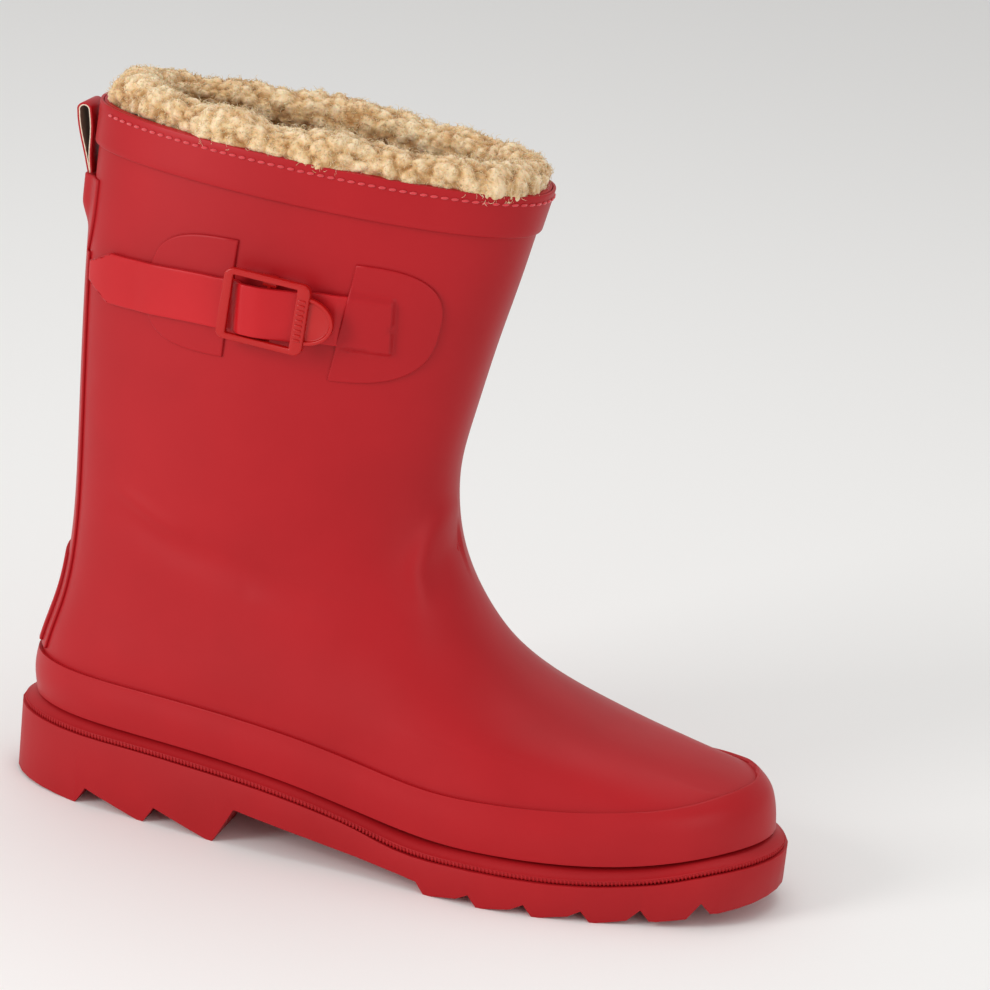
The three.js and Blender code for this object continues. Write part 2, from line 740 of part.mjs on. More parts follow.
// A square frame, a D-shaped thumb tab, and a round bar across the back of the window.
function buckleFrame() {
  const half = buckleHeight / 2;
  const windowHalf = half - endRail;
  const windowBack = rearRail - buckleBack;
  const windowFront = buckleFront - frontRail;
  const outer = roundedRectangle(-buckleBack, buckleFront, -half, half, buckleCorner);
  const opening = roundedRectangle(windowBack, windowFront, -windowHalf, windowHalf, windowCorner);
  const window = plate(opening, buckleLift - 1, buckleThickness + 2);
  const frame = plate(outer, buckleLift, buckleThickness).subtract(window);
  const tabShape = new THREE.Shape();
  tabShape.moveTo(buckleFront - 1, -tabHalfHeight);
  tabShape.absellipse(buckleFront, 0, tabReach, tabHalfHeight, -Math.PI / 2, Math.PI / 2);
  tabShape.lineTo(buckleFront - 1, tabHalfHeight);
  const tab = plate(tabShape, buckleLift, tabThickness);
  const postInset = 0.2;
  const barHalf = half - postInset;
  const bar = new THREE.CylinderGeometry(barRadius, barRadius, barHalf * 2, 12);
  bar.translate(0, 0, barLift);
  const post = (side) => {
    const low = barLift - barRadius;
    const high = buckleLift + 1;
    const footing = new THREE.BoxGeometry(barRadius * 2, endRail - postInset, high - low);
    footing.translate(0, side * (windowHalf + (endRail - postInset) / 2), (high + low) / 2);
    return toSolid(footing);
  };
  return fromSolid(frame.add(tab).add(toSolid(bar)).add(post(1)).add(post(-1)));
}

// A short rubber keeper from the rear patch that wraps the centre bar and holds the buckle.
function buckleKeeper() {
  const eyeRadius = barRadius + gap + eyeWall;
  const start = rearPatchEdge - barX + keeperClearance;
  const outline = new THREE.Shape();
  outline.moveTo(start, gap);
  outline.lineTo(0, gap);
  outline.absarc(0, barLift, eyeRadius, -Math.PI * 0.4, Math.PI * 1.1);
  outline.lineTo(-barLift, gap + keeperThickness);
  outline.lineTo(start, gap + keeperThickness);
  const hole = new THREE.Path();
  hole.absarc(0, barLift, barRadius + gap, 0, Math.PI * 2, true);
  outline.holes.push(hole);
  const strip = extruded(outline, keeperWidth, 12);
  const turn = new THREE.Matrix4().makeBasis(
    new THREE.Vector3(1, 0, 0), new THREE.Vector3(0, 0, 1), new THREE.Vector3(0, -1, 0));
  strip.applyMatrix4(turn);
  strip.translate(0, keeperWidth / 2, 0);
  return closedBody(strip);
}

// ---------------------------------------------------------------- back strip, spur and pull loop

// A shell piece over the back seam, cut to an outline drawn in Y and Z.
function backPiece(lowZ, highZ, inner, outer, outline) {
  const steps = 4;
  const from = Math.floor(backLevel(lowZ));
  const to = Math.ceil(backLevel(highZ));
  const piece = shellPiece(-steps, steps, from, to, inner, outer);
  return toSolid(piece).intersect(toSolid(prismAlong(outline, -barX, barX)));
}

const collarBackHeight = shaftFrontHeight + collarTilt;
const loopPatchTop = collarBackHeight - loopPatchTopDrop;
const loopPatchLow = loopPatchTop - loopPatchHeight;
const foxingTopHeight = heelFeather + foxingHeight;

function backStrip() {
  const low = foxingTopHeight + 1.5;
  const high = loopPatchLow - gap;
  const outline = shapeOf([
    [-stripHalfWidth, low], [stripHalfWidth, low], [stripHalfWidth, high], [-stripHalfWidth, high],
  ]);
  return fromSolid(backPiece(low, high, gap, gap + stripWall, outline));
}

function heelSpur() {
  const low = foxingTopHeight + 2.5;
  const inner = gap + stripWall + gap;
  const taper = spurHalfWidth * 0.8;
  const outline = shapeOf([
    [-taper, low], [taper, low], [spurHalfWidth, spurHeight], [-spurHalfWidth, spurHeight],
  ]);
  return fromSolid(backPiece(low, spurHeight, inner, inner + spurWall, outline));
}

function loopPatch() {
  const outline = new THREE.Shape();
  const narrow = loopPatchHalfWidth * 0.6;
  const shoulder = loopPatchLow + 4;
  const pull = loopPatchLow + 8;
  outline.moveTo(-loopPatchHalfWidth, loopPatchTop);
  outline.quadraticCurveTo(-loopPatchHalfWidth, pull, -narrow, shoulder);
  outline.quadraticCurveTo(0, loopPatchLow - 3, narrow, shoulder);
  outline.quadraticCurveTo(loopPatchHalfWidth, pull, loopPatchHalfWidth, loopPatchTop);
  const reach = loopPatchTop + 6;
  const flat = backPiece(loopPatchLow - 4, reach, gap, gap + patchWall, outline);
  const humpOuter = gap + loopAnchorThickness + gap + patchWall;
  const frame = (margin, drop) => shapeOf([
    [-loopWidth / 2 - margin, loopPatchTop - loopAnchorDepth - drop],
    [loopWidth / 2 + margin, loopPatchTop - loopAnchorDepth - drop],
    [loopWidth / 2 + margin, loopPatchTop + 4],
    [-loopWidth / 2 - margin, loopPatchTop + 4],
  ]);
  const low = loopPatchTop - loopAnchorDepth - 6;
  const hump = backPiece(low, reach, gap + 0.1, humpOuter, frame(gap + patchWall, gap + patchWall));
  const channel = backPiece(low, reach, -gap, humpOuter - patchWall, frame(gap, gap));
  const limit = toSolid(prismAlong(outline, -barX, barX));
  return fromSolid(flat.add(hump).subtract(channel).intersect(limit));
}

// The sewn-down end of the loop's tape, under the patch.
function loopAnchor() {
  const half = loopWidth / 2;
  const outline = shapeOf([
    [-half, loopPatchTop - loopAnchorDepth], [half, loopPatchTop - loopAnchorDepth],
    [half, loopPatchTop], [-half, loopPatchTop],
  ]);
  return fromSolid(backPiece(loopPatchTop - loopAnchorDepth - 4, loopPatchTop + 6, gap,
    gap + loopAnchorThickness, outline));
}

// The free loop: a tape bent into a tall teardrop, open from side to side.
const loopClearance = 1.5;
const loopFrontX = shaftBack - gap - collarWall - gap - loopClearance;
function pullLoop() {
  const low = loopPatchTop + 0.5;
  const high = low + loopHeight;
  const outerBackX = loopFrontX - 2 * loopTapeThickness - loopOpening;
  const teardrop = (inset) => {
    const front = loopFrontX - inset;
    const back = outerBackX + inset;
    const middle = (front + back) / 2;
    const radius = (front - back) / 2;
    const crown = high - inset - radius;
    const shape = new THREE.Shape();
    shape.moveTo(front, low + inset * 1.5);
    shape.lineTo(front, crown);
    shape.absarc(middle, crown, radius, 0, Math.PI);
    shape.quadraticCurveTo(back, low + loopHeight * 0.45, front - 2.4 + inset * 1.4, low + inset * 1.5);
    return shape;
  };
  const outline = teardrop(0);
  outline.holes.push(teardrop(loopTapeThickness));
  return closedBody(prismAcross(outline, -loopWidth / 2, loopWidth / 2));
}

// ---------------------------------------------------------------- assembly

const boot = new THREE.Group();
boot.name = 'rain_boot';
boot.position.x = -soleLength / 2;

function add(name, geometry, finish, parent = boot) {
  const mesh = new THREE.Mesh(geometry, new THREE.MeshStandardMaterial(finish));
  mesh.name = name;
  parent.add(mesh);
  return mesh;
}

const puffOuter = -upperWall - layerGap;
const puffInner = puffOuter - stiffenerWall;
const liningOuter = puffInner - layerGap;
const liningInner = liningOuter - liningWall;
const liningSeam = 8;
const quarterSteps = roundSteps / 4;
const stiffenerSteps = 6;

add('outsole', outsole(), rubber);
add('welt_strip', weltStrip(), rubber);
add('shank', fromSolid(shankStrip(0)), steel);
add('insole_board', fromSolid(soleLayer(gap, gap + boardThickness, boardInset, 0, soleLength)), board);
const insoleLow = gap + boardThickness + gap;
const insolePad = soleLayer(insoleLow, insoleLow + insoleThickness, insoleInset, 0, soleLength);
add('insole', fromSolid(insolePad), fleece);
add('upper_shell', shellRing(featherRing, topRing, -upperWall, 0), rubber);
add('foxing_band', shellRing(featherRing, foxingTopRing, gap, gap + foxingWall), rubber);
const puffSteps = quarterSteps - 4;
const puff = shellPiece(2 * quarterSteps - puffSteps, 2 * quarterSteps + puffSteps, 0.5, foxingTopRing,
  puffInner, puffOuter);
add('toe_puff', puff, felt);
add('heel_stiffener', shellPiece(-stiffenerSteps, stiffenerSteps, 0.5, 5, puffInner, puffOuter), felt);
add('foot_lining', shellRing(featherRing, liningSeam, liningInner, liningOuter), fleece);
add('shaft_lining', shellRing(liningSeam + 0.04, topRing - 0.15, liningInner, liningOuter), fleece);
add('fleece_cuff', fleeceCuff(), fleece);
add('collar_band', shellRing(bandRing, topRing, gap, gap + collarWall), rubber);
add('collar_stitching', collarStitching(), thread);
add('back_strip', backStrip(), rubber);
add('heel_spur', heelSpur(), rubber);
add('loop_patch', loopPatch(), rubber);
add('loop_anchor', loopAnchor(), rubber);
add('pull_loop', pullLoop(), rubber);
add('rear_strap_patch', rearStrapPatch(), rubber);
add('front_strap_patch', frontStrapPatch(), rubber);
add('strap', strapPiece(strapSplit + gap, strapEndX, 26, fullStrap), rubber);
add('strap_tail', strapPiece(strapTipX, strapSplit, 12, taperedStrap), rubber);

const buckle = new THREE.Group();
buckle.applyMatrix4(buckleFrameMatrix());
boot.add(buckle);
add('buckle_frame', buckleFrame(), plastic, buckle);
add('buckle_keeper', buckleKeeper(), rubber, buckle);

export default boot;
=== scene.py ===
# %% [markdown]
# # A rubber rain boot with a fleece lining
# The boot's frame comes from its CAD model: every solid is already in its right place and size.
# This lesson puts the finish on it. Smooth rubber skins grow out of the CAD shells by subdivision,
# thin patches are draped over them, and the fleece is built from clumps and thousands of curls.
# Everything is in metres, +X points to the toe, +Z is up, and -Y is the outer side of the foot.

# %% Load the frame
import json
import math

import bmesh
import bpy
from mathutils import Matrix, Vector, noise
from mathutils.bvhtree import BVHTree
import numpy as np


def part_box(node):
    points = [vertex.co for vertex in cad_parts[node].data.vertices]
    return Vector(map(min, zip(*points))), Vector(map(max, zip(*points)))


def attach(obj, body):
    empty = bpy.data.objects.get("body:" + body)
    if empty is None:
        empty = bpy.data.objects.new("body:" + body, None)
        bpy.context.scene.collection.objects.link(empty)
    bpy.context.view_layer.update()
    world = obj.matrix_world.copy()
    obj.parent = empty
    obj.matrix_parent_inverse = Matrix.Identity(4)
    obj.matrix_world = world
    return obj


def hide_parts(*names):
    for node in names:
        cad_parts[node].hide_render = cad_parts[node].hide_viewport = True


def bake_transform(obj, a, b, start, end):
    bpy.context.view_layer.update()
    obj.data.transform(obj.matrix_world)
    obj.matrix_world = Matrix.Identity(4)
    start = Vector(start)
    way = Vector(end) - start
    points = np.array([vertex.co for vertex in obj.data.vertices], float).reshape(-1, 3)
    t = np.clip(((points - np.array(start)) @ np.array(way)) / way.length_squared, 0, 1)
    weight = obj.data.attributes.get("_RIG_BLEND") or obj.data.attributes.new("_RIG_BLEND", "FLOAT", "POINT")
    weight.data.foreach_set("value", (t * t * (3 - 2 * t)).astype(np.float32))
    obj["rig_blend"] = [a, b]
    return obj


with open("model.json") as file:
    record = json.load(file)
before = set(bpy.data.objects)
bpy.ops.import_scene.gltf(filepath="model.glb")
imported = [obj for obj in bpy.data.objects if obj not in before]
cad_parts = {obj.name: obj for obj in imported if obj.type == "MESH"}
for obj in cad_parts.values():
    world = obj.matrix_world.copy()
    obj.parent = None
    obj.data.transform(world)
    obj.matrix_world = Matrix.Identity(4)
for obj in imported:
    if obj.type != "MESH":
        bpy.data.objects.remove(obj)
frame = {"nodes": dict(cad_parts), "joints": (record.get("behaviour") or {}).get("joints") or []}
bpy.context.view_layer.update()
MM = 0.001
nodes = frame["nodes"]

# %% [markdown]
# ## Camera
# The camera comes first, because every later judgement is made through it. It looks at the outer
# side from slightly in front and above, with a long lens, and it is rolled a few degrees.

# %% Camera
AZIMUTH = math.radians(12.907)
ELEVATION = math.radians(17.654)
ROLL = math.radians(6.077)
DISTANCE = 1.30307
TARGET = Vector((0.02465, 0.0, 0.13117))
LENS = 136.1

towards_camera = Vector((
    math.sin(AZIMUTH) * math.cos(ELEVATION),
    -math.cos(AZIMUTH) * math.cos(ELEVATION),
    math.sin(ELEVATION),
))
camera_data = bpy.data.cameras.new("camera")
camera_data.lens = LENS
camera_data.sensor_width = 36
camera = bpy.data.objects.new("camera", camera_data)
bpy.context.scene.collection.objects.link(camera)
camera.location = TARGET + towards_camera * DISTANCE
look = (-towards_camera).to_track_quat("-Z", "Y").to_matrix().to_4x4()
camera.rotation_euler = (look @ Matrix.Rotation(ROLL, 4, "Z")).to_euler()
bpy.context.scene.camera = camera
bpy.context.scene.view_settings.view_transform = "Standard"
print("camera", [round(v, 3) for v in camera.location])


# %% [markdown]
# ## Colours and node helper
# Colours are written as sRGB hex, the way a paint chart gives them, and turned to linear values.
# One small function adds any shader node, sets its properties and inputs, and makes its links.

# %% Colours and nodes
def colour(hex_code):
    channels = [int(hex_code[i:i + 2], 16) / 255 for i in (1, 3, 5)]
    linear = [c / 12.92 if c <= 0.04045 else ((c + 0.055) / 1.055) ** 2.4 for c in channels]
    return (*linear, 1.0)


def add_node(tree, kind, inputs=None, **settings):
    node = tree.nodes.new(kind)
    for name, value in settings.items():
        setattr(node, name, value)
    for name, value in (inputs or {}).items():
        if isinstance(value, bpy.types.NodeSocket):
            tree.links.new(value, node.inputs[name])
        else:
            node.inputs[name].default_value = value
    return node


def new_material(name, base, roughness, **sockets):
    material = bpy.data.materials.new(name)
    material.use_nodes = True
    shader = material.node_tree.nodes["Principled BSDF"]
    shader.inputs["Base Color"].default_value = colour(base)
    shader.inputs["Roughness"].default_value = roughness
    for socket, value in sockets.items():
        shader.inputs[socket.replace("_", " ")].default_value = value
    return material, material.node_tree, shader


def colour_ramp(tree, factor, stops):
    ramp = add_node(tree, "ShaderNodeValToRGB", {"Fac": factor})
    elements = ramp.color_ramp.elements
    while len(elements) < len(stops):
        elements.new(0.5)
    for element, (place, value) in zip(elements, stops):
        element.position = place
        element.color = colour(value) if isinstance(value, str) else (value, value, value, 1)
    return ramp.outputs["Color"]


# %% [markdown]
# ## Vulcanised rubber
# The boot's skin is natural rubber with a matt lacquer, cured in an oven. It is smooth but not
# polished: highlights are broad and soft, with a faint orange-peel and a slightly dusty bloom.

# %% Rubber materials
RUBBER_RED = "#AB131B"
RUBBER_DEEP = "#A51118"
RUBBER_PALE = "#B0161D"


def rubber(name, base, deep, pale, roughness):
    material, tree, shader = new_material(name, base, roughness, IOR=1.5, Specular_IOR_Level=0.24)
    place = add_node(tree, "ShaderNodeTexCoord").outputs["Object"]
    cloud = add_node(tree, "ShaderNodeTexNoise", {"Vector": place, "Scale": 22.0, "Detail": 3.0})
    tone = colour_ramp(tree, cloud.outputs["Fac"], [(0.3, deep), (0.55, base), (0.8, pale)])
    tree.links.new(tone, shader.inputs["Base Color"])
    bloom = add_node(tree, "ShaderNodeTexNoise", {"Vector": place, "Scale": 60.0, "Detail": 4.0})
    spread = add_node(tree, "ShaderNodeMapRange", {
        "Value": bloom.outputs["Fac"], "To Min": roughness - 0.05, "To Max": roughness + 0.07})
    tree.links.new(spread.outputs["Result"], shader.inputs["Roughness"])
    peel = add_node(tree, "ShaderNodeTexNoise", {"Vector": place, "Scale": 900.0, "Detail": 2.0})
    swell = add_node(tree, "ShaderNodeTexNoise", {"Vector": place, "Scale": 130.0, "Detail": 2.0})
    wide = add_node(tree, "ShaderNodeBump", {
        "Height": swell.outputs["Fac"], "Strength": 0.12, "Distance": 0.35 * MM})
    fine = add_node(tree, "ShaderNodeBump", {
        "Height": peel.outputs["Fac"], "Strength": 0.1, "Distance": 0.05 * MM,
        "Normal": wide.outputs["Normal"]})
    tree.links.new(fine.outputs["Normal"], shader.inputs["Normal"])
    return material


red_rubber = rubber("lacquered_natural_rubber", RUBBER_RED, RUBBER_DEEP, RUBBER_PALE, 0.42)
strap_rubber = rubber("coated_tape_rubber", "#BE1A21", "#B6151C", "#C41F26", 0.36)
sole_rubber = rubber("moulded_sole_rubber", "#A6131A", "#A01117", "#AC161C", 0.5)

# %% [markdown]
# ## Buckle plastic, thread, textile and fleece
# The buckle is injection-moulded nylon: glossier and a little more orange than the rubber.
# The thread is bonded polyester. The loop's tape is backed with a cream cotton drill, and the
# lining is knitted sherpa fleece, whose wool-like curls scatter light softly.

# %% Other materials
buckle_plastic, tree, shader = new_material(
    "injection_moulded_nylon", "#B20F0D", 0.3, IOR=1.53, Specular_IOR_Level=0.35)
place = add_node(tree, "ShaderNodeTexCoord").outputs["Object"]
grain = add_node(tree, "ShaderNodeTexNoise", {"Vector": place, "Scale": 1400.0, "Detail": 2.0})
bump = add_node(tree, "ShaderNodeBump", {
    "Height": grain.outputs["Fac"], "Strength": 0.15, "Distance": 0.03 * MM})
tree.links.new(bump.outputs["Normal"], shader.inputs["Normal"])

thread_red, tree, shader = new_material("bonded_polyester_thread", "#DF2B35", 0.55, Sheen_Weight=0.5)
place = add_node(tree, "ShaderNodeTexCoord").outputs["Object"]
twist = add_node(tree, "ShaderNodeTexWave", {"Vector": place, "Scale": 900.0, "Distortion": 1.0})
bump = add_node(tree, "ShaderNodeBump", {"Height": twist.outputs["Fac"], "Distance": 0.1 * MM})
tree.links.new(bump.outputs["Normal"], shader.inputs["Normal"])

# The loop's backing is cream drill throughout; this darker drill is painted shade on its flat face inside
# the loop.
drill_painted_shade, tree, shader = new_material("cotton_drill_painted_shade", "#7A6253", 0.95)
drill_cream, tree, shader = new_material("cotton_drill", "#E4D3BC", 0.9, Sheen_Weight=0.3)
place = add_node(tree, "ShaderNodeTexCoord").outputs["Object"]
weave = add_node(
    tree, "ShaderNodeTexWave", {"Vector": place, "Scale": 350.0}, bands_direction="DIAGONAL")
bump = add_node(tree, "ShaderNodeBump", {"Height": weave.outputs["Fac"], "Distance": 0.15 * MM})
tree.links.new(bump.outputs["Normal"], shader.inputs["Normal"])


# The nub attribute paints light into the fleece. The hollow colour is painted shade between the nubs and the
# tip colour is a painted highlight on their tops. The cloud noise adds real random tone.
def fleece_material(name, hollow, middle, tip):
    material, tree, shader = new_material(name, middle, 1.0, Sheen_Weight=0.3, Sheen_Roughness=0.6)
    shader.inputs["Specular IOR Level"].default_value = 0.2
    shader.inputs["Subsurface Weight"].default_value = 0.2
    shader.inputs["Subsurface Scale"].default_value = 1.5 * MM
    painted_pile_shading = add_node(tree, "ShaderNodeAttribute", attribute_name="painted_pile_shading")
    place = add_node(tree, "ShaderNodeTexCoord").outputs["Object"]
    cloud = add_node(tree, "ShaderNodeTexNoise", {"Vector": place, "Scale": 95.0, "Detail": 4.0})
    depth = add_node(tree, "ShaderNodeMath", {0: cloud.outputs["Fac"], 1: -0.5}, operation="ADD")
    mixed = add_node(tree, "ShaderNodeMath", {
        0: depth.outputs[0], 1: 0.9, 2: painted_pile_shading.outputs["Fac"]}, operation="MULTIPLY_ADD")
    tone = colour_ramp(tree, mixed.outputs[0], [(0.05, hollow), (0.42, middle), (0.8, tip)])
    tree.links.new(tone, shader.inputs["Base Color"])
    curl = add_node(tree, "ShaderNodeTexNoise", {"Vector": place, "Scale": 1300.0, "Detail": 3.0})
    bump = add_node(tree, "ShaderNodeBump", {"Height": curl.outputs["Fac"], "Distance": 0.5 * MM})
    tree.links.new(bump.outputs["Normal"], shader.inputs["Normal"])
    return material


# The tan is painted shade in the hollows and the pale cream is a painted highlight on the nub tops. The
# middle cream is the fleece's own colour.
fleece_cream = fleece_material("sherpa_fleece", "#B07F48", "#DDB682", "#F1D8B0")
board_card, tree, shader = new_material("cellulose_board", "#B08A5E", 0.9)
felt_grey, tree, shader = new_material("needled_felt", "#4A4643", 0.95)
shank_steel, tree, shader = new_material("brushed_spring_steel", "#8D9196", 0.35, Metallic=1.0)
print("materials", len(bpy.data.materials))


# %% [markdown]
# ## From CAD solid to smooth skin
# A CAD node is a mesh of loose triangles. A copy is welded, its triangles are joined to quads, and
# sharp rims get a crease. Subdivision then rounds the rest into one even, reflective surface.

# %% Copying a CAD node
def mesh_object(name, bm, materials):
    mesh = bpy.data.meshes.new(name)
    bm.to_mesh(mesh)
    bm.free()
    for material in materials:
        mesh.materials.append(material)
    piece = bpy.data.objects.new(name, mesh)
    bpy.context.scene.collection.objects.link(piece)
    mesh.shade_smooth()
    return piece


def welded(node):
    bm = bmesh.new()
    bm.from_mesh(nodes[node].data)
    bmesh.ops.remove_doubles(bm, verts=bm.verts, dist=0.02 * MM)
    return bm


def crease_sharp(bm, degrees, amount=1.0):
    layer = bm.edges.layers.float.get("crease_edge") or bm.edges.layers.float.new("crease_edge")
    for edge in bm.edges:
        if len(edge.link_faces) == 2 and edge.calc_face_angle(0) > math.radians(degrees):
            edge[layer] = amount


def quads(bm):
    bmesh.ops.join_triangles(
        bm, faces=bm.faces, cmp_seam=False, cmp_sharp=False, cmp_uvs=False, cmp_vcols=False,
        cmp_materials=False, angle_face_threshold=math.radians(60),
        angle_shape_threshold=math.radians(70))


def apply_modifiers(piece):
    graph = bpy.context.evaluated_depsgraph_get()
    mesh = bpy.data.meshes.new_from_object(piece.evaluated_get(graph))
    piece.modifiers.clear()
    piece.data = mesh
    return piece


def subdivided(piece, levels):
    modifier = piece.modifiers.new("subdivision", "SUBSURF")
    modifier.levels = levels
    modifier.render_levels = levels
    return apply_modifiers(piece)


def settle(piece, body, slot, *replaced):
    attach(piece, body)
    if replaced:
        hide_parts(*replaced)
    print(piece.name, len(piece.data.polygons), "faces")
    return piece


def smooth_skin(name, node, material, levels, sharp=60, amount=1.0):
    bm = welded(node)
    quads(bm)
    crease_sharp(bm, sharp, amount)
    return subdivided(mesh_object(name, bm, [material]), levels)


# %% Upper, foxing and collar band
bm = welded("upper_shell")
quads(bm)
crease_sharp(bm, 75)
layer = bm.edges.layers.float["crease_edge"]
foxing_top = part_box("foxing_band")[1].z
for edge in bm.edges:
    ends = [vertex.co for vertex in edge.verts]
    level = abs((ends[1] - ends[0]).normalized().z) < 0.35
    at_toe = min(end.x for end in ends) > 0.09
    near_top = all(abs(end.z - foxing_top) < 6 * MM for end in ends)
    if level and at_toe and near_top and edge.calc_face_angle(0) > math.radians(14):
        edge[layer] = 0.9
upper = subdivided(mesh_object("rubber_upper", bm, [red_rubber]), 3)
foxing = smooth_skin("rubber_foxing", "foxing_band", red_rubber, 3, amount=0.8)
band = smooth_skin("rubber_collar_band", "collar_band", red_rubber, 3, amount=0.8)
settle(upper, "boot", "red_rubber", "upper_shell")


def ray_tree(piece):
    mesh = piece.data
    return BVHTree.FromPolygons([v.co for v in mesh.vertices], [p.vertices[:] for p in mesh.polygons])


def hug(piece, body, reach, sunk):
    """Presses a piece on a body: its outside ends up at most at reach, its inside just below."""
    tree = ray_tree(body)
    moves = {}
    for vertex in piece.data.vertices:
        nearest, normal, _, away = tree.find_nearest(vertex.co)
        if vertex.normal.xy.dot(normal.xy.normalized()) < -0.4:
            moves[vertex.index] = nearest - normal * sunk
        elif away > reach:
            moves[vertex.index] = nearest + (vertex.co - nearest) * (reach / away)
    for index, place in moves.items():
        piece.data.vertices[index].co = place
    piece.data.update()


hug(foxing, upper, 1.5 * MM, 0.3 * MM)
settle(foxing, "boot", "red_rubber", "foxing_band")
settle(band, "boot", "red_rubber", "collar_band")

# %% Inner pieces keep their CAD shapes
inner_finish = {
    "shank": shank_steel, "insole_board": board_card, "toe_puff": felt_grey,
    "heel_stiffener": felt_grey,
}
for node, material in inner_finish.items():
    mesh = nodes[node].data
    mesh.materials.clear()
    mesh.materials.append(material)

# %% [markdown]
# ## Draping thin rubber over the shaft
# Patches and straps are flat sheets laid on a curved boot, and they follow its skin. Each is
# modelled flat first, with two coordinates in the plane and its height as the third. Then every
# point is dropped on the rubber skin by a ray, and lifted along the skin's normal by its height.

# %% Rays and draping
FAR = 0.3
UP = Vector((0, 0, 1))


def smooth_normal(mesh, face, point):
    corners = [mesh.vertices[i] for i in mesh.polygons[face].vertices]
    total = Vector()
    for corner in corners:
        total += corner.normal / max((corner.co - point).length, 0.05 * MM)
    return total.normalized()


skin = ray_tree(upper)


def on_outer_side(x, z):
    point, _, face, _ = skin.ray_cast(Vector((x, -FAR, z)), Vector((0, 1, 0)))
    return point, smooth_normal(upper.data, face, point)


def on_back(y, z):
    point, _, face, _ = skin.ray_cast(Vector((-FAR, y, z)), Vector((1, 0, 0)))
    return point, smooth_normal(upper.data, face, point)


def drape(bm, place):
    for vertex in bm.verts:
        point, normal = place(vertex.co.x, vertex.co.y)
        vertex.co = point + normal * vertex.co.z
    bmesh.ops.recalc_face_normals(bm, faces=bm.faces)


def ease(low, high, value):
    share = min(max((value - low) / (high - low), 0.0), 1.0)
    return share * share * (3 - 2 * share)


def along_table(table, value):
    for (start, low), (end, high) in zip(table, table[1:]):
        if value <= end:
            return low + (high - low) * ease(start, end, value)
    return table[-1][1]


def round_edges(bm, edges, offset, segments):
    bmesh.ops.bevel(bm, geom=edges, offset=offset, offset_type="OFFSET", affect="EDGES",
                    segments=segments, profile=0.5, material=-1)


def raised(bm, height):
    """Extrudes a flat sheet and lifts the new side, and gives back the parts it made."""
    made = bmesh.ops.extrude_face_region(bm, geom=bm.faces[:])["geom"]
    top = [part for part in made if isinstance(part, bmesh.types.BMVert)]
    bmesh.ops.translate(bm, verts=top, vec=(0, 0, height))
    bmesh.ops.recalc_face_normals(bm, faces=bm.faces)
    return made


def pillow(outline, foot, thickness, rim):
    middle = sum((Vector(p) for p in outline), Vector((0, 0))) / len(outline)
    reach = max((Vector(p) - middle).length for p in outline)
    bm = bmesh.new()
    ring = bmesh.ops.create_circle(bm, cap_ends=True, segments=len(outline), radius=1.0)["verts"]
    for vertex, (a, b) in zip(ring, outline):
        vertex.co = (a, b, foot)
    centre = middle.to_3d()
    soft = rim / reach
    layers = [(1.0, 0.4), (1 - 0.12 * soft, 0.7), (1 - 0.45 * soft, 0.93), (1 - soft, 1.0)]
    layers += [(0.95 - 0.05 * step, 1.0) for step in range(18)]
    before = 1.0
    cap = bm.faces[:]
    for number, (share, height) in enumerate(layers):
        made = bmesh.ops.extrude_face_region(bm, geom=cap)["geom"]
        if number > 0:
            bmesh.ops.delete(bm, geom=cap, context="FACES_ONLY")
        cap = [part for part in made if isinstance(part, bmesh.types.BMFace)]
        for vertex in (part for part in made if isinstance(part, bmesh.types.BMVert)):
            vertex.co = centre + (vertex.co - centre) * (share / before)
            vertex.co.z = thickness * height
        before = share
    bmesh.ops.poke(bm, faces=cap)
    return bm


# %% [markdown]
# ## Creases of worn rubber
# A standing boot's shaft is heavy, so the rubber folds softly where ankle and foot meet. Each fold
# is a line on the outer side, and points near it are pushed in or out along their normals.

# %% Ankle folds
def fold_distance(point, line):
    best, place = 1.0, 0.0
    lengths = [(b - a).length for a, b in zip(line, line[1:])]
    walked = 0.0
    for start, end, length in zip(line, line[1:], lengths):
        along = (end - start) / length
        reach = min(max((point - start).dot(along), 0.0), length)
        side = (point - start).cross(along)
        gap = (point - start - along * reach).length
        if gap < abs(best):
            best = gap if side > 0 else -gap
            place = (walked + reach) / sum(lengths)
        walked += length
    return best, place


def fold(piece, points, depth, width):
    """Width is the fold's half width in millimetres, depth is negative for a hollow."""
    line = [Vector(p) * MM for p in points]
    moves = {}
    for vertex in piece.data.vertices:
        if vertex.normal.y > 0.1 or vertex.co.y > 0:
            continue
        distance, place = fold_distance(vertex.co.xz, line)
        if abs(distance) < 4 * width * MM:
            fade = math.sin(math.pi * min(max(place, 0.0), 1.0)) ** 0.7
            push = depth * MM * fade * math.exp(-((distance / (width * MM)) ** 2))
            moves[vertex.index] = vertex.normal * push
    for index, move in moves.items():
        piece.data.vertices[index].co += move
    piece.data.update()


# %% Fold the ankle
ANKLE_FOLDS = [
    ([(-108, 113), (-81, 103), (-56, 98.5), (-30, 93), (-4, 90.5), (9, 92)], -1.5, 6.5),
    ([(-107, 119), (-88, 110.5), (-74, 106.5)], 0.9, 3),
    ([(9, 94), (5, 106), (6, 116), (12, 129)], 1.0, 3.2),
    ([(16, 96), (13, 108), (17, 122)], -1.0, 3.6),
    ([(-52, 91), (-30, 86), (-6, 84)], 0.6, 5),
]
for points, depth, width in ANKLE_FOLDS:
    fold(upper, points, depth, width)
skin = ray_tree(upper)
print("folds", len(ANKLE_FOLDS))

# %% [markdown]
# ## Strap patches
# Two D-shaped patches carry the strap. Each is a flat pillow with a thin rounded rim, cured onto
# the shaft. The front one climbs over the sewn end of the strap, which shows as a soft rectangle.

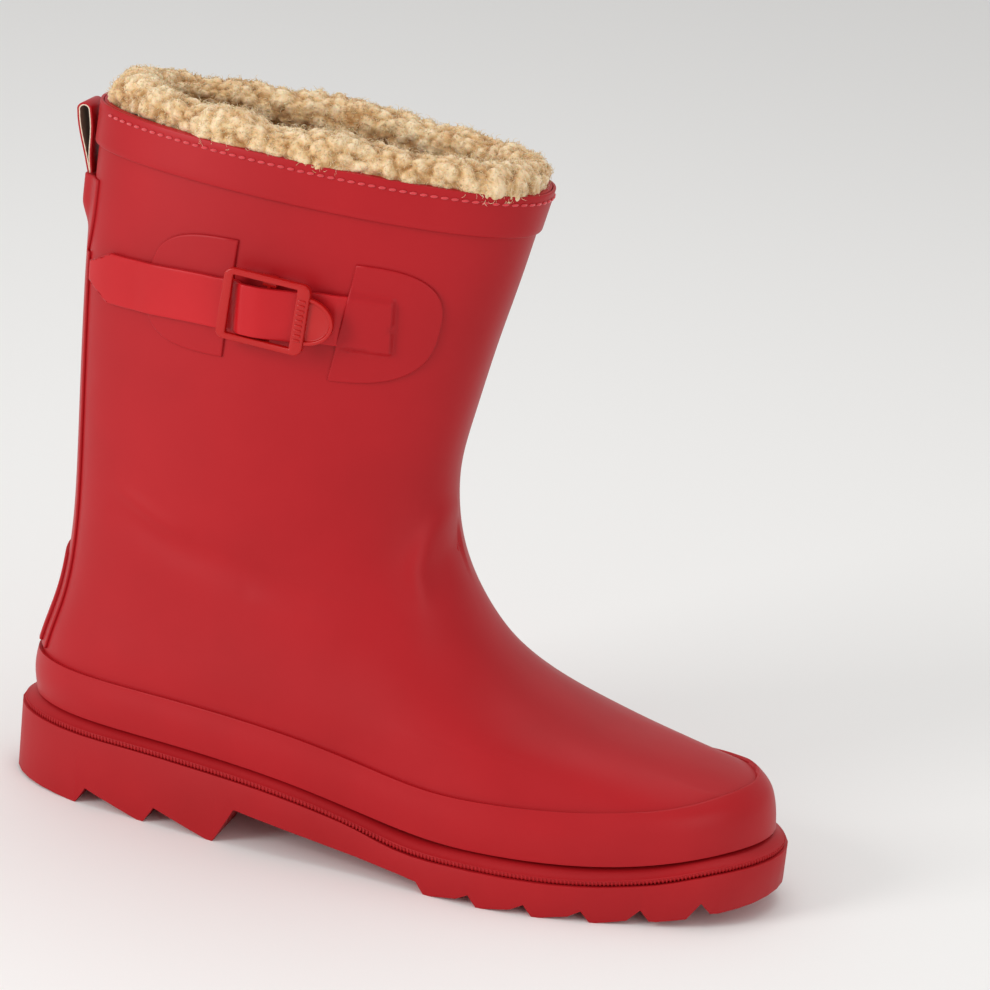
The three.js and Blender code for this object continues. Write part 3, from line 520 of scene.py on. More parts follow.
# %% Strap line and D outline
hinge = next(joint for joint in frame["joints"] if joint["name"] == "buckle_swing")
hinge_place = Vector(hinge["pos_m"])
buckle_up = -Vector(hinge["axis"]).normalized()
buckle_out = (Vector((0, -1, 0)) - buckle_up * buckle_up.dot(Vector((0, -1, 0)))).normalized()
buckle_along = buckle_up.cross(buckle_out)
STRAP_SLOPE = -0.033


def strap_height(x):
    return hinge_place.z + STRAP_SLOPE * (x - hinge_place.x)


def d_outline(edge, depth, half, lean, fullness, lower=0.0):
    centre = strap_height(edge) - lower
    points = []
    for step in range(65):
        angle = math.pi / 2 - math.pi * step / 64
        out = max(math.cos(angle), 0) ** fullness
        rise = math.copysign(abs(math.sin(angle)) ** fullness, angle)
        points.append((edge + depth * out + lean * rise, centre + half * rise))
    top, bottom = points[0], points[-1]
    for step in range(1, 24):
        share = step / 24
        points.append(tuple(b + (t - b) * share for b, t in zip(bottom, top)))
    return points


# %% Rear and front patch
PATCH = 1.0 * MM
SUNK = -0.4 * MM
RIM = 0.9 * MM
rear_edge = -66.5 * MM
front_edge = -27.1 * MM
sewn_end = -11.0 * MM
STRAP_HALF = 8.8 * MM

bm = pillow(d_outline(rear_edge, -31 * MM, 21 * MM, 1.5 * MM, 0.62), SUNK, PATCH, RIM)
drape(bm, on_outer_side)
rear_patch = mesh_object("rubber_rear_patch", bm, [red_rubber])
settle(rear_patch, "boot", "red_rubber", "rear_strap_patch")

bm = pillow(d_outline(front_edge, 32 * MM, 21 * MM, 3.4 * MM, 0.72, MM), SUNK, PATCH, RIM)
for vertex in bm.verts:
    across = abs(vertex.co.y - strap_height(vertex.co.x))
    under = 1 - ease(STRAP_HALF, STRAP_HALF + 1.6 * MM, across)
    under *= 1 - ease(sewn_end, sewn_end + 1.8 * MM, vertex.co.x)
    vertex.co.z += 1.9 * MM * under
drape(bm, on_outer_side)
front_patch = mesh_object("rubber_front_patch", bm, [red_rubber])
settle(front_patch, "boot", "red_rubber", "front_strap_patch")

# %% [markdown]
# ## Strap
# One band of rubber-coated tape runs from the free tip over the rear patch, under the buckle's end
# bar, in a loop over its centre bar, and down under the front patch. A table gives its height
# above the skin. Its free end swings away from the boot, so the band blends between two bodies.

# %% Strap
STRAP_THICK = 1.9 * MM
STRAP_LIFT = [(x * MM, lift * MM) for x, lift in (
    (-121, 0.2), (-103, 0.2), (-94, 1.2), (-74, 1.2), (-67.5, 1.3), (-65, 1.7), (-60, 5.2),
    (-56, 5.3), (-43, 2.5), (-40, 2.0), (-36, 1.6), (-29, 1.1), (-26.5, 0.3), (-11, 0.1))]
tip_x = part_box("strap_tail")[0].x - 2 * MM
TIP_LENGTH = 9 * MM
TIP_HALF = 3.4 * MM
TAIL_DROOP, TIP_DROOP, WINDOW_DROOP = 1.7, 2.8, 0.9

bm = bmesh.new()
bmesh.ops.create_grid(bm, x_segments=130, y_segments=16, size=0.5)
bmesh.ops.scale(bm, verts=bm.verts, vec=(sewn_end - tip_x, 2 * STRAP_HALF, 1))
bmesh.ops.translate(bm, verts=bm.verts, vec=((sewn_end + tip_x) / 2, 0, 0))
for side in (-1, 1):
    slant = Vector((-(STRAP_HALF - TIP_HALF), side * TIP_LENGTH, 0)).normalized()
    for inside in (1.0, 0.35, 0.0):
        bmesh.ops.bisect_plane(
            bm, geom=bm.verts[:] + bm.edges[:] + bm.faces[:], dist=0.01 * MM,
            plane_co=Vector((tip_x, side * TIP_HALF, 0)) - slant * inside * MM,
            plane_no=slant, clear_outer=inside == 0)
raised(bm, STRAP_THICK)
rim = [e for e in bm.edges if len(e.link_faces) == 2 and e.calc_face_angle(0) > 1.2]
round_edges(bm, rim, 0.35 * MM, 3)
for vertex in bm.verts:
    x, across, height = vertex.co
    in_window = ease(-72 * MM, -62 * MM, x) * (1 - ease(-44 * MM, -34 * MM, x))
    sag = 0.12 * MM * (across / STRAP_HALF) ** 2 * in_window
    lift = height + along_table(STRAP_LIFT, x) - sag
    droop = TAIL_DROOP * (1 - ease(-72 * MM, -62 * MM, x))
    droop += TIP_DROOP * (1 - ease(tip_x, -72 * MM, x)) + WINDOW_DROOP * in_window
    vertex.co = (x, strap_height(x) + across - droop * MM, lift)
drape(bm, on_outer_side)
strap = mesh_object("rubber_strap", bm, [strap_rubber])
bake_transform(strap, "boot", "strap_end", start=(-0.0665, -0.037, 0.195), end=(-0.0745, -0.037, 0.195))
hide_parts("strap", "strap_tail", "buckle_keeper")
print("strap", len(strap.data.polygons), "faces")

# %% [markdown]
# ## Buckle
# A moulded frame: four rails round a window, with a D-shaped thumb tab. It starts as a grid of
# three by three cells. The middle cell is removed, the rest gets its thickness, the corners and
# rims are bevelled, and fine ribs for grip are set into the front rail.

# %% Buckle frame
BACK, FRONT, HALF = -15.3 * MM, 15.5 * MM, 12.6 * MM
REAR_RAIL, FRONT_RAIL, END_RAIL = 3.1 * MM, 4.6 * MM, 2.1 * MM
FRAME_LOW, FRAME_THICK = 4.6 * MM, 2.8 * MM
TAB_REACH, TAB_HALF, TAB_THICK = 9.3 * MM, 8.4 * MM, 1.9 * MM
BUCKLE_LEAN = math.radians(-2.5)
buckle_origin = hinge_place - buckle_out * 2.6 * MM


def buckle_place(bm):
    turn = Matrix((buckle_along, buckle_up, buckle_out)).transposed().to_4x4()
    lean = Matrix.Rotation(BUCKLE_LEAN, 4, "Z")
    bmesh.ops.transform(bm, matrix=Matrix.Translation(buckle_origin) @ turn @ lean, verts=bm.verts)
    bmesh.ops.recalc_face_normals(bm, faces=bm.faces)


def block(bm, centre, size, round_off):
    made = bmesh.ops.create_cube(bm, size=1.0)["verts"]
    bmesh.ops.scale(bm, vec=size, verts=made)
    bmesh.ops.translate(bm, vec=centre, verts=made)
    round_edges(bm, [edge for edge in bm.edges if edge.verts[0] in made], round_off, 2)


bm = bmesh.new()
bmesh.ops.create_grid(bm, x_segments=3, y_segments=3, size=1.5)
columns = {-1.5: BACK, -0.5: BACK + REAR_RAIL, 0.5: FRONT - FRONT_RAIL, 1.5: FRONT}
rows = {-1.5: -HALF, -0.5: -HALF + END_RAIL, 0.5: HALF - END_RAIL, 1.5: HALF}
middle = [f for f in bm.faces if f.calc_center_median().length < 0.1]
for vertex in bm.verts:
    x, y = round(vertex.co.x, 1), round(vertex.co.y, 1)
    vertex.co = (columns[x], rows[y], FRAME_LOW)
bmesh.ops.delete(bm, geom=middle, context="FACES")
raised(bm, FRAME_THICK)
bmesh.ops.dissolve_limit(bm, angle_limit=0.02, verts=bm.verts, edges=bm.edges)
corners = [e for e in bm.edges if abs((e.verts[0].co - e.verts[1].co).normalized().z) > 0.9
           and abs(e.verts[0].co.y) > HALF - 0.1 * MM]
round_edges(bm, corners, 3.0 * MM, 6)
round_edges(bm, [e for e in bm.edges if e.calc_face_angle(0) > 1.0], 0.55 * MM, 3)

RIBS = 9
RIB_PITCH = 1.75 * MM
for rib in range(RIBS):
    height = (rib - (RIBS - 1) / 2) * RIB_PITCH
    block(bm, (FRONT - FRONT_RAIL / 2 - 0.1 * MM, height, FRAME_LOW + FRAME_THICK),
          (2.6 * MM, 0.85 * MM, 0.8 * MM), 0.25 * MM)
for end in (-1, 1):
    block(bm, (0, end * (HALF - 2.6 * MM), 2.7 * MM), (5.0 * MM, 4.0 * MM, 1.8 * MM), 0.4 * MM)
    block(bm, (0, end * (HALF - 1.0 * MM), 4.2 * MM), (5.6 * MM, 1.6 * MM, 1.6 * MM), 0.3 * MM)
bar = bmesh.ops.create_cone(bm, cap_ends=True, segments=20, radius1=0.9 * MM, radius2=0.9 * MM,
                            depth=2 * HALF - 2 * MM)["verts"]
bmesh.ops.rotate(bm, verts=bar, matrix=Matrix.Rotation(math.pi / 2, 3, "X"))
bmesh.ops.translate(bm, verts=bar, vec=(0, 0, 2.6 * MM))

# %% Thumb tab
tab = bmesh.new()
bmesh.ops.create_circle(tab, cap_ends=True, segments=56, radius=1.0)
bmesh.ops.scale(tab, verts=tab.verts, vec=(TAB_REACH + 1.2 * MM, TAB_HALF, 1))
bmesh.ops.translate(tab, verts=tab.verts, vec=(FRONT - 1.2 * MM, 0, FRAME_LOW + 0.2 * MM))
bmesh.ops.bisect_plane(tab, geom=tab.verts[:] + tab.edges[:] + tab.faces[:], dist=0.01 * MM,
                       plane_co=(FRONT - 1.2 * MM, 0, 0), plane_no=(-1, 0, 0), clear_outer=True)
tab_top = [f for f in raised(tab, TAB_THICK) if isinstance(f, bmesh.types.BMFace)]
bmesh.ops.inset_region(tab, faces=tab_top, thickness=1.15 * MM)
bmesh.ops.inset_region(tab, faces=tab_top, thickness=0.25 * MM, depth=-0.9 * MM)
round_edges(tab, [e for e in tab.edges if e.calc_face_angle(0) > 0.6], 0.22 * MM, 2)
tab_mesh = bpy.data.meshes.new("tab")
tab.to_mesh(tab_mesh)
tab.free()
bm.from_mesh(tab_mesh)
bpy.data.meshes.remove(tab_mesh)
buckle_place(bm)
buckle = mesh_object("moulded_buckle", bm, [buckle_plastic])
buckle.data.set_sharp_from_angle(angle=math.radians(40))
settle(buckle, "buckle", "red_plastic", "buckle_frame")

# %% [markdown]
# ## Back strip, heel spur and loop patch
# The join at the back of the shaft is covered by a long strip, and the heel has a small spur to
# kick the boot off with. A shield-shaped patch holds the two ends of the pull loop, which lift its
# middle in a soft hump.

# %% Pieces on the back
def strip_panel(half, low, high, foot, thickness, rim, top_arc=0.0):
    """A grid panel with three fine rows at its rim, which keeps long strips evenly meshed."""
    across, tall = 28, max(int((high - low) / (1.5 * MM)), 8)
    bm = bmesh.new()
    bmesh.ops.create_grid(bm, x_segments=across, y_segments=tall, size=0.5)
    for vertex in bm.verts:
        vertex.co.x *= 2 * half
        vertex.co.y = (low + high) / 2 + vertex.co.y * (high - low)
        bulge = 1 - (vertex.co.x / half) ** 2
        vertex.co.y += top_arc * bulge * ease((low + high) / 2, high, vertex.co.y)
    bmesh.ops.translate(bm, verts=bm.verts, vec=(0, 0, foot))
    raised(bm, thickness - foot)
    edges = [e for e in bm.edges if e.calc_face_angle(0) > 1.0 and max(v.co.z for v in e.verts) > 0]
    round_edges(bm, edges, rim, 3)
    return bm


strip_low, strip_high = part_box("back_strip")
spur_low, spur_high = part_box("heel_spur")
patch_low, patch_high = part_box("loop_patch")

bm = strip_panel(13 * MM, strip_low.z, strip_high.z + 6 * MM, SUNK, 1.0 * MM, 0.4 * MM)
drape(bm, on_back)
back_strip = mesh_object("rubber_back_strip", bm, [red_rubber])
settle(back_strip, "boot", "red_rubber", "back_strip")

bm = strip_panel(8.5 * MM, spur_low.z, spur_high.z - 3 * MM, 0.6 * MM, 2.2 * MM, 0.5 * MM, 3 * MM)
drape(bm, on_back)
heel_spur = mesh_object("rubber_heel_spur", bm, [red_rubber])
settle(heel_spur, "boot", "red_rubber", "heel_spur")

# %% Loop patch
PATCH_HALF = 15 * MM


def shield_outline():
    top, low = patch_high.z, patch_low.z
    points = [(PATCH_HALF * (1 - 2 * i / 30), top) for i in range(30)]
    for step in range(90):
        angle = math.pi + math.pi * step / 90
        side = math.copysign(abs(math.cos(angle)) ** 0.75, math.cos(angle))
        drop = abs(math.sin(angle)) ** 0.8
        points.append((PATCH_HALF * side, top + (low - top) * drop))
    return points


bm = pillow(shield_outline(), SUNK, PATCH, RIM)
for vertex in bm.verts:
    y, z, height = vertex.co
    hump = (1 - ease(5.8 * MM, 10.5 * MM, abs(y))) * ease(patch_high.z - 20 * MM, patch_high.z - 9 * MM, z)
    groove = math.exp(-((y + 3 * MM) / (1.1 * MM)) ** 2)
    pleat = groove * ease(patch_high.z - 18 * MM, patch_high.z - 2 * MM, z)
    vertex.co.z += (2.9 * hump - 0.4 * pleat * hump) * MM * (1 if height > 0 else 0.6)
drape(bm, on_back)
loop_patch = mesh_object("rubber_loop_patch", bm, [red_rubber])
settle(loop_patch, "boot", "red_rubber", "loop_patch")

# %% [markdown]
# ## Pull loop
# A tape with a rubber face and a cotton back is folded into a drop shape, so that a finger can pull
# the boot on. An edge as wide as the tape is extruded along the drop's line, one layer for each
# material, and each layer gets its own thickness.

# %% Pull loop
loop_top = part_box("pull_loop")[1].z
LOOP_HALF = 6.6 * MM
TAPE, BACKING = 0.75 * MM, 0.5 * MM
loop_radius = 2.4 * MM
loop_centre = Vector((-133.4 * MM, 0, loop_top - 1.6 * MM - loop_radius - TAPE))
root_height = patch_high.z - 11 * MM


def drop_line(inset):
    """Points down the drop in the plane y = 0, set in by inset from the tape's outer face."""
    radius = loop_radius + TAPE - inset
    points = []
    wall = on_back(0, root_height)[0].x
    for share in (0.0, 0.5, 1.0):
        z = root_height + (patch_high.z - root_height) * share
        points.append((on_back(0, z)[0].x - (2.6 * MM - inset) - 0.2 * MM, z))
    start, end = Vector(points[-1]), Vector((loop_centre.x - radius, loop_centre.z))
    for step in range(1, 9):
        share = step / 8
        bulge = math.sin(math.pi * share) * 0.5 * MM
        points.append((start.x + (end.x - start.x) * ease(-0.15, 1.1, share) - bulge * 0.4,
                       start.y + (end.y - start.y) * share))
    for step in range(1, 16):
        angle = math.pi - math.pi * step / 16
        points.append((loop_centre.x + radius * math.cos(angle), loop_centre.z + radius * math.sin(angle)))
    close = on_back(0, patch_high.z)[0].x - inset - 0.2 * MM
    for step in range(0, 9):
        share = step / 8
        sway = math.sin(2 * math.pi * share) * 0.35 * MM
        points.append((loop_centre.x + radius + (close - loop_centre.x - radius) * share + sway,
                       loop_centre.z + (patch_high.z - loop_centre.z) * share))
    points.append((wall - inset - 0.2 * MM, root_height))
    return points


def tape_layer(bm, inset, thickness, material_index, flat_index):
    line = drop_line(inset + thickness / 2)
    layer = bmesh.new()
    ends = [layer.verts.new((line[0][0], side * LOOP_HALF, line[0][1])) for side in (-1, 1)]
    edge = layer.edges.new(ends)
    for (x0, z0), (x1, z1) in zip(line, line[1:]):
        made = bmesh.ops.extrude_edge_only(layer, edges=[edge])["geom"]
        edge = next(part for part in made if isinstance(part, bmesh.types.BMEdge))
        bmesh.ops.translate(layer, verts=edge.verts[:], vec=(x1 - x0, 0, z1 - z0))
    bmesh.ops.recalc_face_normals(layer, faces=layer.faces)
    bmesh.ops.solidify(layer, geom=layer.faces[:], thickness=thickness)
    bmesh.ops.recalc_face_normals(layer, faces=layer.faces)
    for face in layer.faces:
        on_edge = abs(face.normal.y) > 0.5
        face.material_index = material_index if on_edge else flat_index
    mesh = bpy.data.meshes.new("layer")
    layer.to_mesh(mesh)
    layer.free()
    bm.from_mesh(mesh)
    bpy.data.meshes.remove(mesh)


bm = bmesh.new()
tape_layer(bm, 0.0, TAPE, 0, 0)
# The backing's edges are cream, and its flat faces take the darker drill as painted shade inside the loop.
tape_layer(bm, TAPE, BACKING, 1, 2)
round_edges(bm, [e for e in bm.edges if e.calc_face_angle(0) > 1.2], 0.15 * MM, 2)
pull_loop = mesh_object("tape_pull_loop", bm, [red_rubber, drill_cream, drill_painted_shade])
loop_root = Vector((-0.133, 0, patch_high.z))
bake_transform(pull_loop, "boot", "loop", start=loop_root - UP * MM, end=loop_root + UP * 5 * MM)
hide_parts("pull_loop", "loop_anchor")
print("loop", len(pull_loop.data.polygons), "faces")

# %% [markdown]
# ## Walking round a shell
# Stitches and the sole's knurl repeat hundreds of times round the boot. A walk round the shell
# casts rays inwards, measures the way, and gives evenly spaced places with a normal and a heading.

# %% Even places round a shell
def walk_round(find_point, spacing, samples=900):
    """find_point gives a shell's point and normal in a level direction from the middle."""
    ring = []
    for step in range(samples):
        angle = 2 * math.pi * (step + 0.37) / samples
        ring.append(find_point(Vector((math.cos(angle), math.sin(angle), 0))))
    total = sum((b[0] - a[0]).length for a, b in zip(ring, ring[1:] + ring[:1]))
    count = round(total / spacing)
    even, walked, wanted = [], 0.0, 0.0
    for (start, normal), (end, _) in zip(ring, ring[1:] + ring[:1]):
        length = (end - start).length
        while wanted <= walked + length and len(even) < count:
            share = (wanted - walked) / length
            even.append((start.lerp(end, share), normal, (end - start).normalized()))
            wanted += total / count
        walked += length
    return even


def on_shell(point, normal, heading):
    along = (heading - normal * heading.dot(normal)).normalized()
    return Matrix.Translation(point) @ Matrix((along, normal, along.cross(normal))).transposed().to_4x4()


# %% [markdown]
# ## Collar seam
# The collar band is sewn on near its top edge with a thick thread. Each stitch is a small rounded
# bead, pulled into the rubber at both ends, and the seam stops short of the back, where the loop is.

# %% Stitches
seam_low, seam_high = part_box("collar_stitching")
STITCH_PITCH = 3.5 * MM
STITCH_LENGTH = 2.5 * MM
STITCH_WIDTH = 1.0 * MM
SEAM_START = 9 * MM
seam_tilt = (seam_low.z - seam_high.z) / (seam_high.x - seam_low.x)


def seam_point(out):
    middle = Vector(((seam_low.x + seam_high.x) / 2, 0, 0))
    reached = seam_high.x
    for _ in range(4):
        middle.z = seam_high.z - 0.4 * MM + seam_tilt * 0.93 * (reached - seam_low.x)
        point, normal, _, _ = band_tree.ray_cast(middle + out * FAR, -out)
        reached = point.x
    return point, normal


bm = bmesh.new()
band_tree = ray_tree(band)
for point, normal, heading in walk_round(seam_point, STITCH_PITCH):
    if point.x < seam_low.x + SEAM_START:
        continue
    bead = bmesh.ops.create_uvsphere(bm, u_segments=8, v_segments=6, radius=0.5)["verts"]
    size = Matrix.Diagonal((STITCH_WIDTH, STITCH_WIDTH * 0.9, STITCH_LENGTH, 1))
    lay = Matrix.Rotation(math.pi / 2 + 0.12, 4, "Y")
    place = on_shell(point + normal * 0.25 * MM, normal, heading)
    bmesh.ops.transform(bm, verts=bead, matrix=place @ lay @ size)
stitches = mesh_object("collar_stitches", bm, [thread_red])
settle(stitches, "boot", "thread", "collar_stitching")

# %% [markdown]
# ## Outsole, welt and knurl
# The cleated sole is moulded in one piece. Its flat facets are joined and every sharp edge gets the
# small round that a mould leaves. The welt above it is a smooth bead, and a fine knurl runs along
# the joint, which hides the cement line.

# %% Outsole
bm = welded("outsole")
bmesh.ops.dissolve_limit(bm, angle_limit=math.radians(0.6), verts=bm.verts, edges=bm.edges)
bmesh.ops.scale(bm, verts=bm.verts, vec=(1.0045, 1.012, 1))
outsole = mesh_object("moulded_outsole", bm, [sole_rubber])
edge_round = outsole.modifiers.new("mould_round", "BEVEL")
edge_round.width = 0.7 * MM
edge_round.segments = 3
edge_round.limit_method = "ANGLE"
edge_round.angle_limit = math.radians(24)
edge_round.harden_normals = True
apply_modifiers(outsole)
settle(outsole, "boot", "red_rubber", "outsole")

welt = smooth_skin("rubber_welt", "welt_strip", sole_rubber, 3, sharp=50, amount=0.75)
for vertex in welt.data.vertices:
    vertex.co.x *= 0.991
    vertex.co.y *= 0.976
welt.data.update()
settle(welt, "boot", "red_rubber", "welt_strip")

# %% Knurl
KNURL_PITCH = 1.35 * MM
welt_tree = ray_tree(nodes["welt_strip"])
smooth_welt = ray_tree(welt)
welt_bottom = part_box("welt_strip")[0].z
IN_FROM_EDGE = 0.6 * MM
ABOVE_JOINT = 0.75 * MM


def joint_point(out):
    edge = smooth_welt.find_nearest(out * FAR + UP * welt_bottom)[0]
    below = edge - out * IN_FROM_EDGE
    below.z = 0
    joint = welt_tree.ray_cast(below, UP)[0]
    start = Vector((0, 0, joint.z + ABOVE_JOINT)) + out * FAR
    return smooth_welt.ray_cast(start, Vector((edge.x, edge.y, 0)) - out * FAR)[:2]


bm = bmesh.new()
for point, normal, heading in walk_round(joint_point, KNURL_PITCH, 1400):
    tooth = bmesh.ops.create_cube(bm, size=1.0)["verts"]
    bmesh.ops.transform(bm, verts=tooth, matrix=on_shell(point, normal, heading)
                        @ Matrix.Diagonal((0.7 * MM, 0.7 * MM, 1.5 * MM, 1)))
round_edges(bm, bm.edges[:], 0.16 * MM, 1)
knurl = mesh_object("welt_knurl", bm, [sole_rubber])
settle(knurl, "boot", "red_rubber")

# %% [markdown]
# ## Sherpa fleece
# Sherpa is a knitted pile whose fibres curl up into small nubs. The ground is a dense skin of the
# lining's shape, pushed out by cell noise, so that it swells into nubs of two sizes. An attribute keeps
# how deep each point lies, and the material paints shade in the hollows and a highlight on the tops by it.

# %% Fleece ground
noise.seed_set(7)


def nub(point, size):
    """From 0 in the hollow between cells to 1 on top of a cell."""
    distances, _ = noise.voronoi(point / size)
    return max(0.0, 1 - distances[0] / 0.72) ** 0.5


def fleece_skin(name, node, levels, lump, nub_height, faces_foot, shrink=(1, 1, 1), shift=(0, 0, 0)):
    bm = welded(node)
    quads(bm)
    low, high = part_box(node)
    bmesh.ops.scale(bm, verts=bm.verts, vec=shrink, space=Matrix.Translation(-(low + high) / 2))
    bmesh.ops.translate(bm, verts=bm.verts, vec=shift)
    piece = subdivided(mesh_object(name, bm, [fleece_cream]), levels)
    mesh = piece.data
    painted_pile_shading = mesh.attributes.new("painted_pile_shading", "FLOAT", "POINT")
    moves = []
    for vertex in mesh.vertices:
        point = vertex.co / MM
        weight = faces_foot(vertex)
        big = nub(point + noise.noise_vector(point / 6) * 1.2, 4.3)
        small = nub(point + noise.noise_vector(point / 2) * 0.4, 1.9)
        swell = noise.noise(point / 18) * lump + big * nub_height + small * nub_height * 0.36
        swell += noise.noise(point / 0.8) * 0.12
        moves.append(vertex.normal * swell * weight * MM)
        # Nub height, which the material turns into painted shade in the hollows and a painted highlight on
        # the tops.
        painted_pile_shading.data[vertex.index].value = 0.62 * big + 0.38 * small
    for vertex, move in zip(mesh.vertices, moves):
        vertex.co += move
    mesh.update()
    mesh.shade_smooth()
    return piece


cuff = fleece_skin("fleece_roll", "fleece_cuff", 4, 3.4, 1.9, lambda v: 1.0,
                   (0.95, 0.935, 0.96), (1.8 * MM, 0, -5 * MM))
settle(cuff, "boot", "fleece", "fleece_cuff")


def inwards(vertex):
    """1 on the side that faces the leg or foot, 0 on the side that is glued to the rubber."""
    x = min(max(vertex.co.x, -0.085), 0.1) if vertex.co.z < 0.105 else -0.0475
    to_middle = Vector((x - vertex.co.x, -vertex.co.y, 0.0))
    if vertex.co.z < 0.105:
        to_middle.z = 0.03 - vertex.co.z if vertex.co.x > -0.03 else 0.0
    return ease(0.0, 0.4, vertex.normal.dot(to_middle.normalized()))


leg_lining = fleece_skin("fleece_leg_lining", "shaft_lining", 3, 0.8, 1.5, inwards)
settle(leg_lining, "boot", "fleece", "shaft_lining")
foot_lining = fleece_skin("fleece_foot_lining", "foot_lining", 3, 0.4, 1.2, inwards)
settle(foot_lining, "boot", "fleece", "foot_lining")

# %% Insole
bm = welded("insole")
bmesh.ops.scale(bm, verts=bm.verts, vec=(0.985, 0.955, 1))
insole = mesh_object("fleece_insole", bm, [fleece_cream])
remesh = insole.modifiers.new("even_faces", "REMESH")
remesh.mode = "VOXEL"
remesh.voxel_size = 1.6 * MM
apply_modifiers(insole)
# The tuft value paints shade into the insole's hollows and a highlight onto its tufts through the fleece
# material.
painted_pile_shading = insole.data.attributes.new("painted_pile_shading", "FLOAT", "POINT")
lifts = []
for vertex in insole.data.vertices:
    tuft = nub(vertex.co / MM, 3.6)
    painted_pile_shading.data[vertex.index].value = tuft
    lifts.append(0.7 * MM * tuft * ease(0.3, 0.8, vertex.normal.z))
for vertex, lift in zip(insole.data.vertices, lifts):
    vertex.co.z += lift
insole.data.shade_smooth()
settle(insole, "footbed", "fleece", "insole")

# %% [markdown]
# ## Curls
# A fleece looks soft because loose fibres break its outline. One curl is a thin three-sided strand,
# extruded in steps that each turn it further. Geometry nodes scatter thousands of them over the
# ground, turned and scaled at random from a fixed seed, and the result becomes plain mesh.

# %% One curl
def curl_strand(name, length, thickness, bend):
    bm = bmesh.new()
    ring = bmesh.ops.create_circle(bm, segments=3, radius=thickness)["verts"]
    edges = bm.edges[:]
    # The attribute runs from 0.35 at the root to 1 at the tip: painted shade at the curl's foot and a
    # painted highlight towards its end.
    root = {vertex: 0.35 for vertex in ring}
    steps = 4
    for step in range(steps):
        made = bmesh.ops.extrude_edge_only(bm, edges=edges)["geom"]
        ring = [part for part in made if isinstance(part, bmesh.types.BMVert)]
        edges = [part for part in made if isinstance(part, bmesh.types.BMEdge)]
        edges = [edge for edge in edges if edge.verts[0] in ring and edge.verts[1] in ring]
        centre = sum((vertex.co for vertex in ring), Vector()) / len(ring)
        turn = Matrix.Rotation(bend * (step + 0.5) / steps, 3, "X")
        lean = Matrix.Rotation(bend / steps, 3, "X")
        bmesh.ops.rotate(bm, verts=ring, cent=centre, matrix=lean)
        bmesh.ops.scale(bm, verts=ring, vec=(0.78,) * 3, space=Matrix.Translation(-centre))
        bmesh.ops.translate(bm, verts=ring, vec=turn @ Vector((0, 0, length / steps)))
        root.update({vertex: 0.35 + 0.65 * (step + 1) / steps for vertex in ring})
    bm.faces.new(ring)
    values = [root[vertex] for vertex in bm.verts]
    strand = mesh_object(name, bm, [fleece_cream])
    painted_pile_shading = strand.data.attributes.new("painted_pile_shading", "FLOAT", "POINT")
    for place, value in enumerate(values):
        painted_pile_shading.data[place].value = value
    return strand


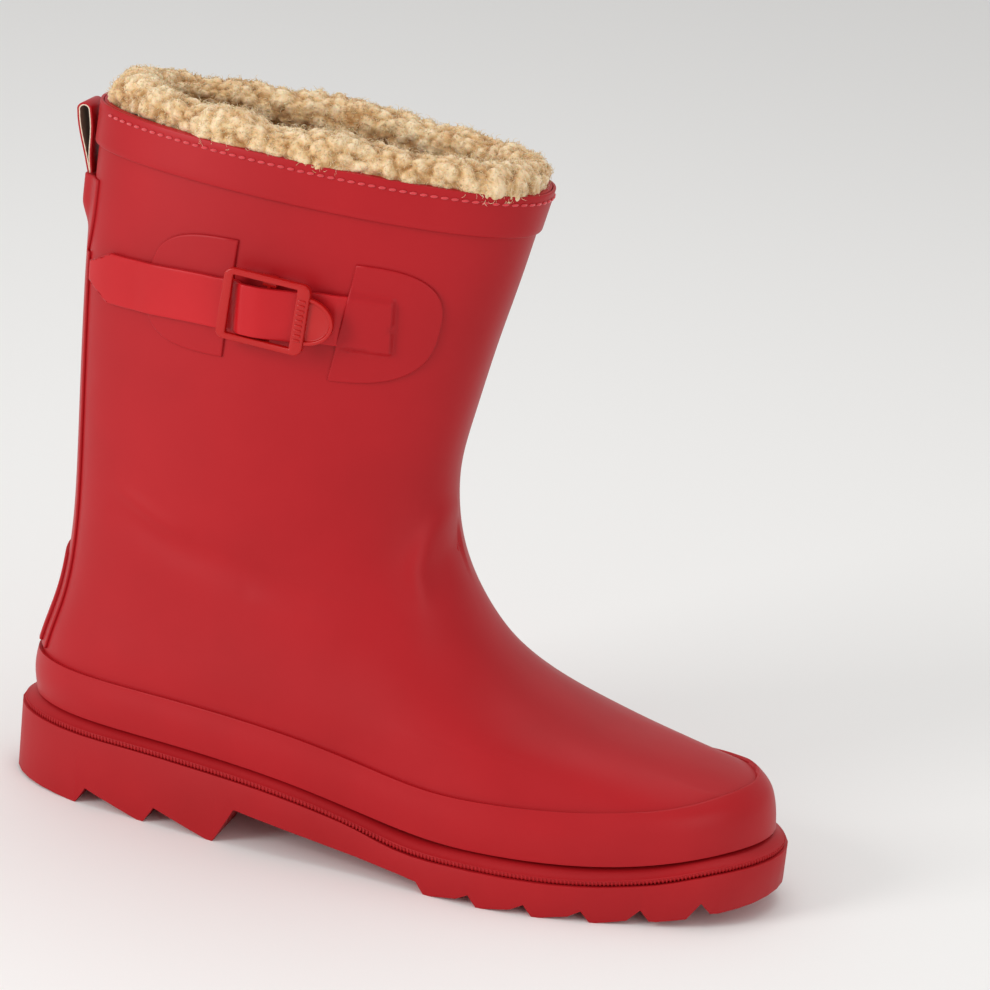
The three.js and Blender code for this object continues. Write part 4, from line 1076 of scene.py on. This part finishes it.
def scattered(name, ground, strand, density, seed, body):
    piece = bpy.data.objects.new(name, ground.data.copy())
    bpy.context.scene.collection.objects.link(piece)
    tree = bpy.data.node_groups.new(name, "GeometryNodeTree")
    tree.interface.new_socket("Geometry", in_out="INPUT", socket_type="NodeSocketGeometry")
    tree.interface.new_socket("Geometry", in_out="OUTPUT", socket_type="NodeSocketGeometry")
    start = add_node(tree, "NodeGroupInput")
    spots = add_node(tree, "GeometryNodeDistributePointsOnFaces", {
        "Mesh": start.outputs[0], "Density": density, "Seed": seed})
    turn = add_node(tree, "FunctionNodeRandomValue", data_type="FLOAT_VECTOR")
    turn.inputs[0].default_value = (-1.0, -1.0, 0.0)
    turn.inputs[1].default_value = (1.0, 1.0, math.tau)
    turn.inputs["Seed"].default_value = seed + 1
    as_turn = add_node(tree, "FunctionNodeEulerToRotation", {"Euler": turn.outputs[0]})
    lean = add_node(tree, "FunctionNodeRotateRotation", {
        "Rotation": spots.outputs["Rotation"], "Rotate By": as_turn.outputs[0]}, rotation_space="LOCAL")
    size = add_node(tree, "FunctionNodeRandomValue", data_type="FLOAT")
    size.inputs[2].default_value = 0.55
    size.inputs[3].default_value = 1.25
    size.inputs["Seed"].default_value = seed + 2
    shape = add_node(tree, "GeometryNodeObjectInfo", {"Object": strand, "As Instance": True})
    copies = add_node(tree, "GeometryNodeInstanceOnPoints", {
        "Points": spots.outputs["Points"], "Instance": shape.outputs["Geometry"],
        "Rotation": lean.outputs[0], "Scale": size.outputs[1]})
    real = add_node(tree, "GeometryNodeRealizeInstances", {"Geometry": copies.outputs[0]})
    add_node(tree, "NodeGroupOutput", {0: real.outputs[0]})
    modifier = piece.modifiers.new("scatter", "NODES")
    modifier.node_group = tree
    apply_modifiers(piece)
    piece.data.shade_smooth()
    return settle(piece, body, "fleece")


# %% Scatter the curls
strand = curl_strand("curl", 2.6 * MM, 0.11 * MM, 2.6)
shown = bmesh.new()
shown.from_mesh(cuff.data)
hidden = [face for face in shown.faces if face.normal.z < -0.35]
bmesh.ops.delete(shown, geom=hidden, context="FACES")
roll_ground = mesh_object("roll_ground", shown, [fleece_cream])
scattered("fleece_roll_curls", roll_ground, strand, 420000, 11, "boot")
tuft = curl_strand("tuft", 1.7 * MM, 0.16 * MM, 3.6)
scattered("fleece_roll_tufts", roll_ground, tuft, 300000, 23, "boot")
scattered("fleece_leg_curls", leg_lining, strand, 110000, 31, "boot")
for scrap in (strand, tuft, roll_ground):
    bpy.data.objects.remove(scrap)

# %% [markdown]
# ## Floor and light
# A pale seamless floor under a big soft light from the left and front, a weaker one from the
# right, and a pale sky. Satin rubber needs large lights, because small ones make hard glints.

# %% Floor and lights
bm = bmesh.new()
bmesh.ops.create_grid(bm, x_segments=1, y_segments=1, size=4.0)
floor_paint, tree, shader = new_material("matt_white_floor", "#F4F3F1", 0.9)
floor = mesh_object("floor", bm, [floor_paint])

sky = bpy.data.worlds.new("studio")
sky.use_nodes = True
sky.node_tree.nodes["Background"].inputs["Color"].default_value = colour("#FFFFFF")
sky.node_tree.nodes["Background"].inputs["Strength"].default_value = 0.62
bpy.context.scene.world = sky


def area_light(name, place, aim, size, watts):
    data = bpy.data.lights.new(name, "AREA")
    data.shape = "RECTANGLE"
    data.size, data.size_y = size
    data.energy = watts
    light = bpy.data.objects.new(name, data)
    light.location = place
    light.rotation_euler = (Vector(aim) - Vector(place)).to_track_quat("-Z", "Y").to_euler()
    bpy.context.scene.collection.objects.link(light)
    return light


area_light("key", (-1.15, -1.25, 0.75), (-0.05, 0.0, 0.13), (0.55, 1.1), 15)
area_light("fill", (1.2, -1.1, 0.6), (0.05, 0.0, 0.08), (0.9, 0.7), 3.5)
area_light("top", (0.1, 0.2, 1.6), (0.0, 0.0, 0.1), (1.2, 1.2), 6)
